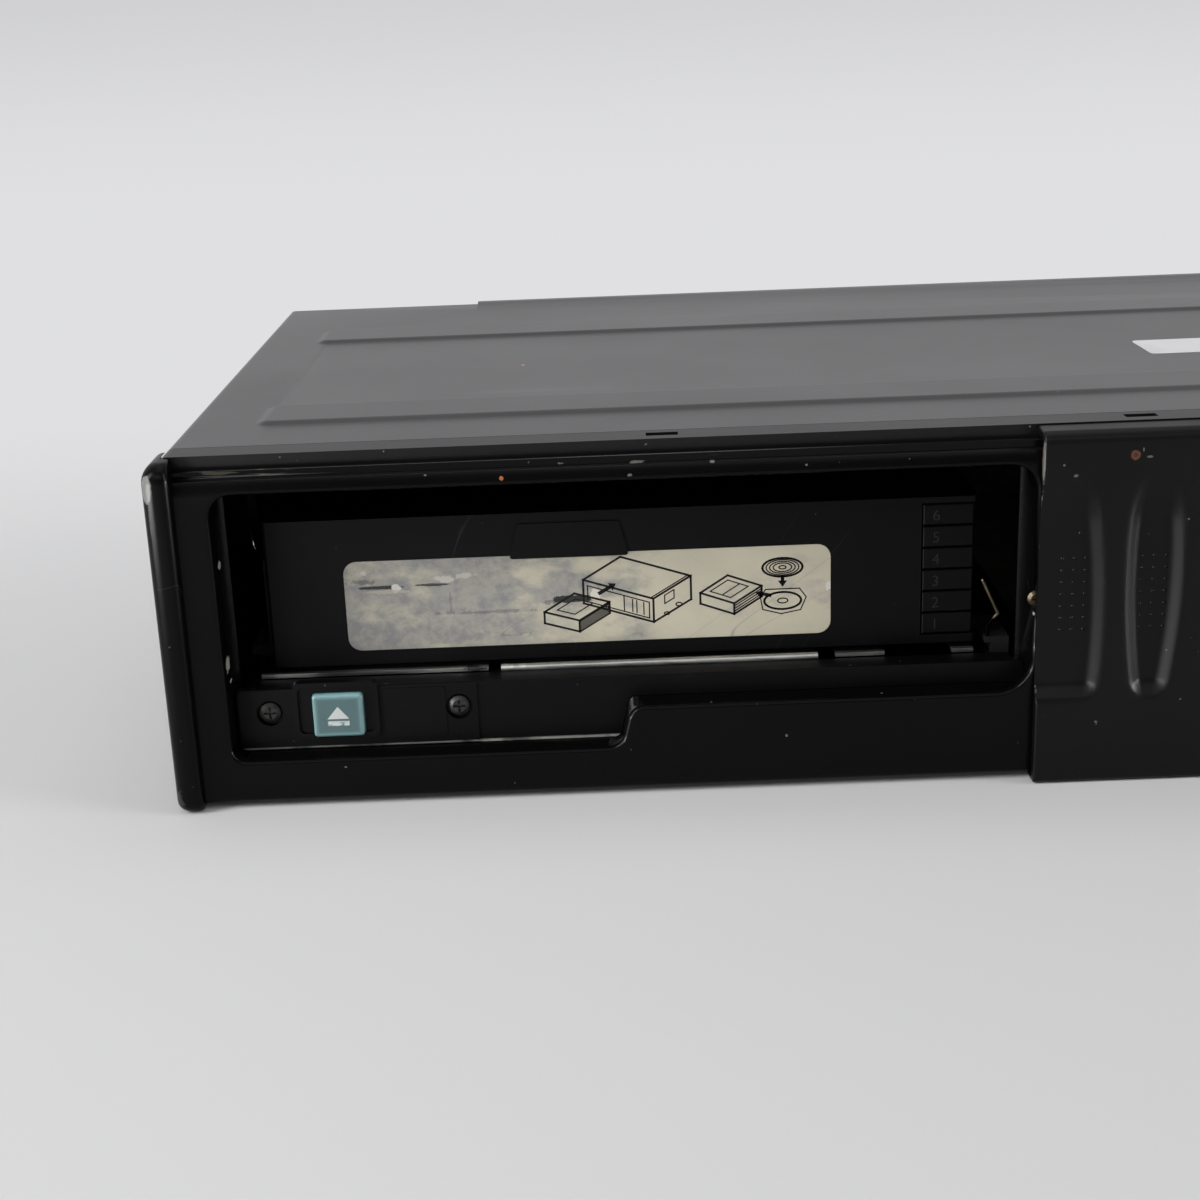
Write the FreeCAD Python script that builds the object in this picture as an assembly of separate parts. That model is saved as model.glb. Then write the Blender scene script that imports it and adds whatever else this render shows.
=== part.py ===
import FreeCAD
import Part
import math
import os

# Six-disc car CD changer with a sliding door, a slide-in magazine and a lifting player deck.
# Millimetres. x runs from the left end cap, y from the fascia's front plane into the unit,
# z from the surface that the unit stands on. place() moves this to the part's own frame,
# whose origin is the middle of the underside.

# Height, sheet and gaps
cover_top = 69.4
sheet = 1.0
slip = 0.1
running_gap = 0.05
loose_gap = 0.3

# Discs, trays and magazine
disc_count = 6
disc_radius = 60.0
disc_bore = 7.5
disc_thick = 1.2
disc_rim_gap = 0.7
magazine_side_margin = 9.3
magazine_end_margin = 6.5
magazine_wall = 1.8
magazine_floor = 1.2
magazine_lid = 1.2
magazine_clearance = 0.12
magazine_edge = 0.8
cell_rise = 1.8
cell_pitch = 4.43
cell_width = 9.9
tab_gap = 0.25
tab_reach = 1.5
tab_round = 0.35
tray_thick = 3.2
tray_floor = 1.0
tray_lift = 0.15
tray_slack = 0.8
rib_thick = 0.9
rib_depth = 3.0
magazine_screw_reach = 5.0
tray_side_gap = 0.4
tray_travel = 128.0
tray_hole = 16.0
tray_window = 30.0
push_plate_offset = 59.2
push_plate_rise = 20.6
push_plate_height = 7.0
push_plate_half = 11.6
push_plate_proud = 0.35
lid_ramp_half = 30.0
lid_ramp_inset = 12.0
lid_ramp_length = 18.0

# End caps and fascia
cap_width = 5.3
cap_front = -2.4
cap_back = 9.0
cap_drop = 0.2
cap_round = 2.5
cap_inner_round = 1.6
cap_crown_round = 4.2
cap_foot_round = 2.6
body_inset = 2.2
fascia_base = 1.0
fascia_wall = 2.5
fascia_foot_depth = 8.6
fascia_foot = 4.0
fascia_bottom_round = 1.6
ridge_drop = 3.7
ridge_step = 0.7
crest_drop = 1.8
guide_front = 2.35
guide_width = 1.3
guide_wall = 0.3
lower_guide_height = 2.3
upper_guide_depth = 3.6

# Opening in the fascia and the tunnel behind it
opening_left = 11.5
opening_low = 9.7
opening_high = 18.0
magazine_left_room = 6.8
magazine_right_room = 7.9
frame_band = 6.8
step_low_x = 86.3
step_run = 2.0
step_round = 3.5
opening_round_left = 4.5
opening_round_low = 2.8
opening_round_right = 5.0
opening_round_foot = 6.5
rim_round = 0.8
tunnel_back = 13.7
tunnel_wall = 1.8
tunnel_round = 1.5
tunnel_lip = 0.4

# Cover, rail and chassis
cover_skirt = 11.0
cover_round = 2.0
rail_depth = 7.1
seam = 0.2
bead_width = 19.0
bead_height = 0.7
bead_near = 27.4
bead_far = 118.4
bead_inset = 16.2
bead_round = 3.2
clip_x = (95.9, 185.3)
clip_width = 6.0
clip_inset = 2.5
clip_depth = 2.5
hook_reach = 4.4
rear_lip_inset = 53.5
rear_lip_height = 0.8
rear_lip_depth = 4.4
rear_lip_slope = 7.0
chassis_setback = 1.25
dial_y = 90.0
dial_z = 40.0
dial_window = 22.0
dial_radius = 14.0
dial_pivot_radius = 2.0
dial_pivot_end = 0.8
dial_room = 4.2
dial_strap = 5.0
dial_disc = 2.0
bush_near = 25.0
bush_pitch = 125.0
bush_z = 12.0
bush_radius = 4.5
bush_bore = 2.1
bush_length = 6.0
cover_screw_near = 40.0
cover_screw_pitch = 100.0
cover_screw_drop = 6.4
cover_screw_shank = 1.4
cover_screw_head = 2.8
vent_count = 9
vent_pitch = 7.0
vent_offset = 55.6
vent_low = 20.0
vent_high = 44.0
vent_radius = 1.2

# Door
door_gap = 0.3
door_overlap = 0.2
door_front = -3.0
door_skin = 1.8
door_drop = 0.25
door_lip = 1.3
door_crown_round = 2.2
door_edge_round = 0.5
door_base = 0.2
door_base_lip = 0.65
door_hook = 0.8
door_hook_back = 3.4
scoop_low = 17.4
scoop_drop = 9.55
scoop_depth = 1.7
scoop_soft = 2.6
scoop_rim_round = 0.5
scoop_edge = 11.6
scoop_rib = 3.8
scoop_width = 11.9
scoop_bow = 0.8
scoop_end_tuck = 2.2
dimple_x = 96.0
dimple_z = 38.0
dimple_radius = 9.0
groove_z = 38.0
groove_width = 0.8
gap_screw_z = 36.5
gap_screw_depth = 1.5
gap_screw_offset = 0.4

# Button panel
panel_front = 5.5
panel_skin = 1.6
panel_edge = 0.6
panel_shelf_back = 10.8
panel_shelf = 0.9
surround_left = 23.0
surround_right = 39.6
surround_low = 12.2
surround_high = 23.6
button_x = 31.7
button_z = 16.9
button_width = 9.8
button_height = 8.7
button_front = 4.3
button_travel = 2.5
panel_screw_x = (18.4, 55.1)
panel_screw_z = 17.5
panel_screw_shank = 1.3
panel_screw_head = 2.2
panel_step_x = 58.7
boss_front = 9.2
boss_length = 4.3
board_thick = 1.5
front_board_end = 3.9
lamp_offset = 9.5
plug_length = 10.0
plug_depth = 4.5
plug_inset = 4.0

# Magazine floor plate and guides
floor_top = 23.3
magazine_lift = 0.3
floor_left_margin = 4.3
floor_right_margin = 3.1
floor_front = 11.5
floor_setback = 12.5
floor_rear_gap = 8.4
floor_sheet = 0.8
floor_lips = ((16.3, 60.8), (128.9, 138.5), (151.7, 155.9))
floor_roll = (63.3, 125.4)
roll_radius = 0.8
relief_spread = 37.5
relief_near = 60.0
relief_far = 120.0
relief_half_width = 16.0
guide_height = 20.0
guide_sheet = 1.6
latch_width = 3.4
latch_length = 13.6
latch_wire_radius = 0.4
pusher_offset = 20.0
pusher_rise = 6.0
pusher_half = 14.0
pusher_up = 6.0
pusher_down = 4.0
pusher_radius = 2.0

# Player deck
frame_gap = 11.1
frame_reach = 100.4
frame_floor = 5.0
frame_margin = 1.4
frame_drop = 9.4
frame_side_room = 15.2
deck_inset = 6.0
deck_reach = 80.4
deck_front_margin = 1.5
deck_back_margin = 0.5
deck_level = 13.8
deck_sheet = 1.2
deck_flange = 5.2
pin_low_offset = 15.6
pin_pitch = 85.0
pin_z = 16.9
pin_radius = 1.2
spindle_height = 23.2
spindle_radius = 15.0
cone_radius = 7.3
cone_height = 1.9
motor_radius = 14.0
motor_height = 6.8
shaft_radius = 1.0
sled_start = 24.0
sled_travel = 34.0
rod_radius = 1.5
belly_length = 14.0
belly_width = 16.0
sled_arm = 8.0
rod_spread = 14.0
rod_z = 18.2
screw_offset = 23.0
sled_half = 11.0
feed_motor_radius = 6.0
feed_motor_length = 12.0
holder_sheet = 2.0

# Lift
cam_gap = 0.4
cam_sheet = 1.2
cam_inset = 2.5
cam_length = 119.5
cam_top = 46.5
lift_axis_offset = 24.4
lift_axis_z = 7.8
tooth_module = 0.6
pinion_teeth = 14
tooth_slack = 0.1
pressure_angle = math.radians(20)
stud_spread = 15.0
stud_high_z = 38.0
stud_low_z = 24.0
stud_head = 2.2
axle_radius = 1.5
wheel_teeth = 20
wheel_module = 0.5
wheel_gap = 8.6
wheel_width = 4.0
worm_radius = 2.2
lift_motor_offset = 13.0
lift_motor_radius = 7.0
lift_motor_length = 24.0
motor_shaft_reach = 6.0
rear_room = 26.9
shelf_rear_gap = 4.0

# Clamp
post_inset = 11.0
post_spread = 50.0
post_radius = 2.5
post_drop = 3.4
clamp_park = 2.7
clamp_stand = 4.4
clamp_sheet = 1.2
clamp_spine = 3.6
clamp_sleeve = 4.0
clamp_nose = 14.0
clamp_nose_half = 16.0
clamp_shoulder = 30.0
clamp_shoulder_half = 20.0
clamp_window_start = 50.0
clamp_window_reach = 22.0
clamper_radius = 14.5
clamper_neck = 6.0
sleeve_radius = 4.5

# Dampers
damper_inset = 9.0
damper_far_inset = 7.0
damper_end_inset = 11.0
damper_radius = 5.0

# Rear socket and main board
board_left = 24.0
board_right = 150.0
board_front = 26.0
board_rear_gap = 8.4
board_level = 5.0
chip_height = 2.2
chip_near = 68.0
chip_gap = 36.0
capacitor_x = (50.0, 60.0, 84.0, 94.0)
capacitor_y = 138.0
capacitor_height = 9.0
socket_left = 40.0
socket_width = 30.0
socket_height = 12.0
socket_reach = 3.6
socket_length = 20.0
socket_cavity = 9.0
socket_key = 6.0
socket_round = 1.0

# Worked out from the sizes above
magazine_width = 2 * (disc_radius + magazine_side_margin)
magazine_depth = 2 * (disc_radius + magazine_end_margin)
magazine_left = opening_left + magazine_left_room
magazine_right = magazine_left + magazine_width
magazine_face = tunnel_back + tray_slack
magazine_back = magazine_face + magazine_depth
magazine_middle_x = magazine_left + magazine_width / 2
magazine_middle_y = magazine_face + magazine_depth / 2
magazine_base = floor_top + magazine_lift
cell_base = magazine_base + cell_rise
magazine_top = cell_base + disc_count * cell_pitch + magazine_lid + magazine_clearance
tray_base = cell_base + tray_lift
cell_left = magazine_right - tray_slack - cell_width
push_plate_x = magazine_left + push_plate_offset
push_plate_low = magazine_base + push_plate_rise
push_plate_high = push_plate_low + push_plate_height
spindle_x = magazine_middle_x + tray_travel
spindle_y = magazine_middle_y
frame_left = magazine_right + frame_gap
frame_right = spindle_x + frame_reach
unit_width = frame_right + frame_side_room
body_depth = magazine_back + rear_room
opening_right = magazine_right + magazine_right_room
opening_top = cover_top - frame_band
step_high_x = step_low_x + step_run
cap_top = cover_top - cap_drop
fascia_ridge = cover_top - ridge_drop
fascia_crest = cover_top - crest_drop
fascia_back = guide_front + guide_width + guide_wall
upper_guide_floor = fascia_crest - upper_guide_depth
rail_front = fascia_back + running_gap
cover_front = rail_front + rail_depth
chassis_front = fascia_back + chassis_setback
chassis_top = cover_top - cover_round
bush_y = (bush_near, bush_near + bush_pitch)
cover_screw_y = (cover_screw_near, cover_screw_near + cover_screw_pitch)
cover_screw_z = cover_top - cover_screw_drop
clip_front = rail_front + clip_inset
vent_right = spindle_x + vent_offset
door_left = opening_right + door_overlap
door_right = unit_width - cap_width - door_gap
door_top = cover_top - door_drop
scoop_high = door_top - scoop_drop
panel_right = opening_right - 3 * slip
panel_top = floor_top - floor_sheet - slip
boss_back = boss_front + boss_length
floor_left = magazine_left - floor_left_margin
floor_right = magazine_right + floor_right_margin
floor_back = body_depth - floor_rear_gap
pusher_x = magazine_middle_x - pusher_offset
pusher_z = floor_top + pusher_rise
deck_left = frame_left + deck_inset
deck_right = spindle_x + deck_reach
deck_front = magazine_face - deck_front_margin
deck_back = magazine_back + deck_back_margin
deck_travel = tray_base + tray_floor - spindle_height + (disc_count - 1) * cell_pitch
frame_front = deck_front - sheet - 2 * loose_gap
frame_back = deck_back + frame_margin
frame_top = cover_top - frame_drop
pin_x = (spindle_x - pin_low_offset, spindle_x - pin_low_offset + pin_pitch)
cam_front = frame_front - cam_gap - cam_sheet
cam_rear = frame_back + cam_gap
cam_left = frame_left + cam_inset
cam_right = cam_left + cam_length
lift_axis_x = spindle_x + lift_axis_offset
stud_high_x = lift_axis_x - stud_spread
stud_low_x = lift_axis_x + stud_spread
wheel_front = frame_back + wheel_gap
lift_motor_front = lift_axis_x + lift_motor_offset
pinion_radius = tooth_module * pinion_teeth / 2
rack_z = lift_axis_z + pinion_radius
post_x = frame_right - post_inset
post_y = (spindle_y - post_spread, spindle_y + post_spread)
post_top = cover_top - post_drop
clamp_base = tray_base + tray_floor + (disc_count - 1) * cell_pitch + disc_thick + clamp_park
clamp_plate = clamp_base + clamp_stand
damper_x = (frame_left + damper_inset, frame_right - damper_far_inset)
damper_y = (frame_front + damper_end_inset, frame_back - damper_end_inset)
board_back = body_depth - board_rear_gap
socket_back = body_depth + socket_reach


def place(x, y, z):
    return FreeCAD.Vector(x - unit_width / 2, y - body_depth / 2, z)


def about(middle, half):
    """Span of the given half width about a middle."""
    return middle - half, middle + half


def block(x, y, z):
    return Part.makeBox(x[1] - x[0], y[1] - y[0], z[1] - z[0], place(x[0], y[0], z[0]))


def point_on(plane, level, u, v):
    if plane == "xy":
        return place(u, v, level)
    if plane == "xz":
        return place(u, level, v)
    return place(level, u, v)


def normal_of(plane):
    return FreeCAD.Vector(plane == "yz", plane == "xz", plane == "xy")


def corner_stretch(last, here, following, radius):
    """Start, middle and end of the arc that rounds one corner of an outline."""
    if radius == 0:
        return here, here, here
    to_last = (last - here).normalize()
    to_next = (following - here).normalize()
    half = to_last.getAngle(to_next) / 2
    bisector = (to_last + to_next).normalize()
    centre = here + bisector * (radius / math.sin(half))
    reach = radius / math.tan(half)
    return here + to_last * reach, centre - bisector * radius, here + to_next * reach


def outline(plane, level, corners):
    """Flat face in a plane, from its corners (u, v) or (u, v, radius)."""
    spots = [FreeCAD.Vector(corner[0], corner[1], 0) for corner in corners]
    radii = [corner[2] if len(corner) > 2 else 0 for corner in corners]
    count = len(corners)
    stretches = [corner_stretch(spots[i - 1], spots[i], spots[(i + 1) % count], radii[i])
                 for i in range(count)]
    edges = []
    for i, (start, middle, end) in enumerate(stretches):
        start_at, middle_at, end_at = [point_on(plane, level, p.x, p.y) for p in (start, middle, end)]
        if (end - start).Length > 1e-6:
            edges.append(Part.Arc(start_at, middle_at, end_at).toShape())
        following = stretches[(i + 1) % count][0]
        if (following - end).Length > 1e-6:
            next_at = point_on(plane, level, following.x, following.y)
            edges.append(Part.LineSegment(end_at, next_at).toShape())
    return Part.Face(Part.Wire(edges))


def slab(plane, span, corners):
    """Prism on an outline, between two levels across its plane."""
    return outline(plane, span[0], corners).extrude(normal_of(plane) * (span[1] - span[0]))


def frame_corners(u, v, radius):
    return [(u[0], v[0], radius), (u[1], v[0], radius), (u[1], v[1], radius), (u[0], v[1], radius)]


def panel(plane, span, u, v, radius=0):
    return slab(plane, span, frame_corners(u, v, radius))


def rod(axis, u, v, span, radius):
    """Cylinder along an axis; u and v are its place across that axis, in x, y, z order."""
    start = {"x": (span[0], u, v), "y": (u, span[0], v), "z": (u, v, span[0])}[axis]
    along = {"x": normal_of("yz"), "y": normal_of("xz"), "z": normal_of("xy")}[axis]
    return Part.makeCylinder(radius, span[1] - span[0], place(*start), along)


def slot(plane, span, start, end, radius):
    """Round-ended prism between two centres."""
    run = FreeCAD.Vector(end[0] - start[0], end[1] - start[1], 0)
    along = FreeCAD.Vector(run).normalize() * radius
    across = FreeCAD.Vector(-along.y, along.x, 0)
    first = FreeCAD.Vector(start[0], start[1], 0)
    last = FreeCAD.Vector(end[0], end[1], 0)
    corners = [first - along - across, last + along - across, last + along + across,
               first - along + across]
    return slab(plane, span, [(corner.x, corner.y, radius) for corner in corners])


def turned(axis, u, v, profile):
    """Solid of revolution; the profile lists (distance along the axis, radius) and closes on itself."""
    spots = []
    for along, radius in profile:
        spots.append({"x": place(along, u + radius, v), "y": place(u + radius, along, v),
                      "z": place(u + radius, v, along)}[axis])
    centre = {"x": place(0, u, v), "y": place(u, 0, v), "z": place(u, v, 0)}[axis]
    direction = {"x": normal_of("yz"), "y": normal_of("xz"), "z": normal_of("xy")}[axis]
    face = Part.Face(Part.makePolygon(spots + [spots[0]]))
    return face.revolve(centre, direction, 360)


def joined(shapes):
    first = shapes[0]
    return first.multiFuse(shapes[1:]).removeSplitter() if len(shapes) > 1 else first


def mirrored(shape):
    """The same piece on the other side of the unit."""
    return shape.mirror(FreeCAD.Vector(0, 0, 0), FreeCAD.Vector(1, 0, 0))


def involute(angle):
    return math.tan(angle) - angle


def gear_outline(axis_u, axis_v, teeth, module, slack):
    """Corner points of a spur gear with involute flanks; slack thins each tooth."""
    pitch = module * teeth / 2
    base = pitch * math.cos(pressure_angle)
    tip = pitch + module
    radii = [base + (tip - base) * share for share in (0, 0.35, 0.7, 1)]
    flank = [(pitch - 1.1 * module, 0)] + [(radius, involute(math.acos(base / radius))) for radius in radii]
    corners = []
    for tooth in range(teeth):
        centre = 2 * math.pi * tooth / teeth + math.pi / 2
        for side, points in ((-1, flank), (1, reversed(flank))):
            for radius, turn in points:
                half = math.pi / 2 / teeth + involute(pressure_angle) - turn - slack / radius / 2
                angle = centre + side * half
                corners.append((axis_u + radius * math.cos(angle), axis_v + radius * math.sin(angle)))
    return corners


def rack_corners(low_x, high_x, top_z):
    """Toothed strip whose teeth point down at the pinion below, in phase with it at rest."""
    step = math.pi * tooth_module
    root, tip = rack_z + tooth_module, rack_z - 0.8 * tooth_module
    lean = math.tan(pressure_angle)
    half_root = step / 4 - tooth_slack / 2 + (root - rack_z) * lean
    half_tip = step / 4 - tooth_slack / 2 - (rack_z - tip) * lean
    corners = [(low_x, top_z), (low_x, root)]
    x = lift_axis_x + step / 2 - step * math.floor((lift_axis_x + step / 2 - low_x) / step - 0.5)
    while x + half_root < high_x:
        corners += [(x - half_root, root), (x - half_tip, tip)]
        corners += [(x + half_tip, tip), (x + half_root, root)]
        x += step
    return corners + [(high_x, root), (high_x, top_z)]


def opening_corners(grow=0.0):
    """The stepped opening of the fascia; grow moves every side outwards."""
    return [
        (opening_left - grow, opening_low - grow, opening_round_low + grow),
        (step_low_x + grow, opening_low - grow, step_round),
        (step_high_x + grow, opening_high - grow, step_round),
        (opening_right + grow, opening_high - grow, opening_round_foot + grow),
        (opening_right + grow, opening_top + grow, opening_round_right + grow),
        (opening_left - grow, opening_top + grow, opening_round_left + grow),
    ]


def tunnel_corners(grow=0.0):
    """The tunnel behind the fascia's wall: the same sides with tighter corners."""
    radius = tunnel_round + grow / 2
    return [(corner[0], corner[1], radius) for corner in opening_corners(grow)]


def edges_on(shape, side, level):
    """Edges that lie in one plane across x, y or z."""
    low, high = {"x": ("XMin", "XMax"), "y": ("YMin", "YMax"), "z": ("ZMin", "ZMax")}[side]
    return [edge for edge in shape.Edges
            if abs(getattr(edge.BoundBox, low) - level) < 1e-6 > abs(getattr(edge.BoundBox, high) - level)]


def bent_sheet(x, y, z, radius, back_too):
    """Block whose long top edges, and the rear one if asked, are rounded like bent sheet."""
    body = block(x, y, z)
    edges = []
    for edge in edges_on(body, "z", z[1]):
        across = edge.BoundBox.XLength > edge.BoundBox.YLength
        rear = edge.BoundBox.YMin > place(0, (y[0] + y[1]) / 2, 0).y
        if not across or (rear and back_too):
            edges.append(edge)
    return body.makeFillet(radius, edges)


def bottom_chassis():
    left, right = body_inset + sheet + slip, unit_width - body_inset - sheet - slip
    back = body_depth - sheet - slip
    pan = block((left, right), (chassis_front, back), (0, chassis_top))
    hollow = block((left + sheet, right - sheet), (chassis_front - 1, back - sheet),
                   (sheet, chassis_top + 1))
    body = pan.cut(hollow)
    half = dial_window / 2
    window = panel("yz", (left - 1, right + 1), about(dial_y, half), about(dial_z, half), 3)
    body = body.cut(window)
    brackets = [dial_bracket(left + sheet), mirrored(dial_bracket(left + sheet))]
    stands = [rod("z", x, y, (sheet, board_level), 3.0)
              for x in (board_left + 5, board_right - 5) for y in (board_front + 5, board_back - 6)]
    body = joined([body] + brackets + stands)
    cuts = []
    for y in bush_y:
        cuts.append(rod("x", y, bush_z, (left - 1, right + 1), bush_radius - 1.5))
    for y in cover_screw_y:
        cuts.append(rod("x", y, cover_screw_z, (left - 1, right + 1), cover_screw_shank))
    through = (back - sheet - 1, back + 1)
    socket = panel("xz", through, (socket_left - slip, socket_left + socket_width + slip),
                   (socket_level() - slip, socket_level() + socket_height + slip), socket_round + slip)
    for i in range(vent_count):
        x = vent_right - i * vent_pitch
        cuts.append(slot("xz", through, (x, vent_low), (x, vent_high), vent_radius))
    return body.cut(Part.makeCompound(cuts + [socket]))


def dial_bracket(wall):
    """Strap behind a side window that carries the dial's inner pivot."""
    reach = dial_radius + 2
    outer = wall + dial_room + sheet
    plate = panel("yz", (wall + dial_room, outer), about(dial_y, dial_strap), about(dial_z, reach), 1)
    legs = [block((wall, outer), about(dial_y, dial_strap), about(z, sheet / 2))
            for z in about(dial_z, reach - sheet / 2)]
    bore = rod("x", dial_y, dial_z, (wall + dial_room - 1, outer + 1), dial_pivot_radius + running_gap)
    return joined([plate] + legs).cut(bore)


def socket_level():
    return board_level + board_thick


def top_cover():
    inner_round = cover_round - sheet
    skin = bent_sheet((body_inset, unit_width - body_inset), (cover_front, body_depth),
                      (cover_top - cover_skirt, cover_top), cover_round, True)
    hollow = bent_sheet((body_inset + sheet, unit_width - body_inset - sheet),
                        (cover_front - 1, body_depth - sheet),
                        (cover_top - cover_skirt - 1, cover_top - sheet), inner_round, True)
    body = skin.cut(hollow)
    for near in (bead_near, bead_far):
        body = body.fuse(bead(near, 0, cover_top - sheet / 2)).cut(bead(near, sheet, cover_top - sheet - 1))
    lip_front, lip_top = body_depth - rear_lip_depth, cover_top + rear_lip_height
    lip = slab("yz", (rear_lip_inset, unit_width - rear_lip_inset), [
        (lip_front - rear_lip_slope, cover_top - sheet / 2), (lip_front - rear_lip_slope, cover_top),
        (lip_front, lip_top), (body_depth - cover_round, lip_top),
        (body_depth - sheet / 2, cover_top - cover_round / 2), (body_depth - sheet / 2, cover_top - sheet),
        (lip_front, cover_top - sheet)])
    holes = [rod("x", y, cover_screw_z, (0, unit_width), cover_screw_shank + loose_gap)
             for y in cover_screw_y]
    return joined([body, lip]).cut(Part.makeCompound(holes))


def bead(near, shrink, low):
    """Long pressed bead with rounded corners and sloping sides; shrink gives its hollow underside."""
    top = cover_top + bead_height - shrink
    left, right = bead_inset + shrink, unit_width - bead_inset - shrink
    front, back = near + shrink, near + bead_width - shrink
    base = slab("xy", (low, top), frame_corners((left, right), (front, back), bead_round - shrink))
    return base.makeChamfer(bead_height * 0.8, edges_on(base, "z", top))


def front_rail():
    inner_round = cover_round - sheet
    skin = bent_sheet((body_inset, unit_width - body_inset), (rail_front, cover_front - seam),
                      (cover_top - cover_skirt, cover_top), cover_round, False)
    inside = (body_inset + sheet, unit_width - body_inset - sheet)
    hollow = bent_sheet(inside, (rail_front + sheet, cover_front),
                        (cover_top - cover_skirt - 1, cover_top - sheet), inner_round, False)
    roof_room = block(inside, (rail_front - 1, cover_front), (0, opening_top + tunnel_wall + slip))
    clip_back, hook_half = clip_front + clip_depth, clip_width / 2 - slip
    windows = [block(about(x, clip_width / 2), (clip_front, clip_back),
                     (cover_top - sheet - 1, cover_top + 1)) for x in clip_x]
    hooks = [block(about(x, hook_half), (clip_back, cover_front + hook_reach),
                   (cover_top - 2 * sheet - slip, cover_top - sheet - slip)) for x in clip_x]
    ties = [block(about(x, hook_half), (clip_back, cover_front - seam),
                  (cover_top - 2 * sheet, cover_top - sheet)) for x in clip_x]
    shell = skin.cut(hollow).cut(Part.makeCompound([roof_room] + windows))
    return joined([shell] + hooks + ties)


def front_fascia():
    back = guide_front + guide_width
    profile = [
        (0, fascia_base, fascia_bottom_round), (0, fascia_ridge, ridge_step / 2),
        (ridge_step, fascia_ridge), (guide_front, fascia_crest, guide_wall),
        (guide_front, upper_guide_floor), (fascia_back, upper_guide_floor), (fascia_back, opening_top - 1),
        (fascia_wall, opening_top - 1), (fascia_wall, fascia_base + fascia_foot),
        (fascia_foot_depth, fascia_base + fascia_foot), (fascia_foot_depth, fascia_base),
        (back, fascia_base), (back, fascia_base + lower_guide_height),
        (guide_front, fascia_base + lower_guide_height), (guide_front, fascia_base),
    ]
    wall = slab("yz", (cap_width, unit_width - cap_width), profile)
    wall = wall.cut(slab("xz", (-1, tunnel_back), opening_corners()))
    front, left, right = place(0, 0, 0).y, place(opening_left, 0, 0).x, place(opening_right, 0, 0).x
    rim = [edge for edge in edges_on(wall, "y", front)
           if edge.BoundBox.XMin > left - 1e-6 and edge.BoundBox.XMax < right + 1e-6]
    wall = wall.makeFillet(rim_round, rim)
    tunnel = slab("xz", (fascia_wall, tunnel_back), tunnel_corners(tunnel_wall))
    tunnel = tunnel.cut(slab("xz", (fascia_wall, tunnel_back), tunnel_corners()))
    lip = slab("xz", (tunnel_back - sheet, tunnel_back), tunnel_corners(slip))
    lip = lip.cut(slab("xz", (tunnel_back - sheet, tunnel_back), tunnel_corners(-tunnel_lip)))
    joint = slab("xz", (fascia_wall - sheet, fascia_wall), tunnel_corners(tunnel_wall))
    joint = joint.cut(slab("xz", (fascia_wall - sheet, fascia_wall), tunnel_corners()))
    bosses = [block(about(x, 3.2), (boss_front, boss_back), (opening_low - 1, panel_screw_z + 3))
              for x in panel_screw_x]
    body = joined([wall, joint, tunnel, lip] + bosses)
    bores = [rod("y", x, panel_screw_z, (boss_front - 1, boss_back + 1), panel_screw_shank)
             for x in panel_screw_x]
    screw_notch = block((opening_right - 1, door_left + 3), (-1, gap_screw_depth - loose_gap),
                        about(gap_screw_z, 2))
    return body.cut(Part.makeCompound(bores + [screw_notch]))


def end_cap():
    step, inner = rail_front - slip, body_inset - slip
    plan = [(0, cap_back), (0, cap_front, cap_round), (cap_width, cap_front, cap_inner_round),
            (cap_width, step), (inner, step), (inner, cap_back)]
    body = slab("xy", (0, cap_top), plan)
    front = block((-1, cap_width + 1), (cap_front - 1, cap_back + 1), (-1, cap_top + 1))
    side = slab("yz", (-1, cap_width + 1), [
        (cap_front, 0, cap_inner_round), (cap_front, cap_top, cap_crown_round), (cap_back, cap_top, 0),
        (cap_back, 0, 0)])
    crown = slab("xz", (cap_front - 1, cap_back + 1), [
        (0, 0, cap_foot_round), (cap_width, 0, 0.5), (cap_width, cap_top, 0.9),
        (0, cap_top, cap_crown_round)])
    return body.common(front).common(side).common(crown)


def gap_screw():
    """Small screw in a notch at the opening's right edge."""
    x, back = opening_right + gap_screw_offset, gap_screw_depth - loose_gap
    front = back - 0.9
    head = turned("y", x, gap_screw_z, [
        (front, 0), (front, 1.0), (back - 0.3, 1.5), (back, 1.5), (back, 0)])
    return head.cut(cross_recess(x, gap_screw_z, front, 0.5, 0.9))


def cross_recess(x, z, front, depth, reach):
    """Cross-shaped driver recess in a screw head that faces the front."""
    span, half = (front - 1, front + depth), 0.22
    return block(about(x, reach), span, about(z, half)).fuse(block(about(x, half), span, about(z, reach)))


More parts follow.
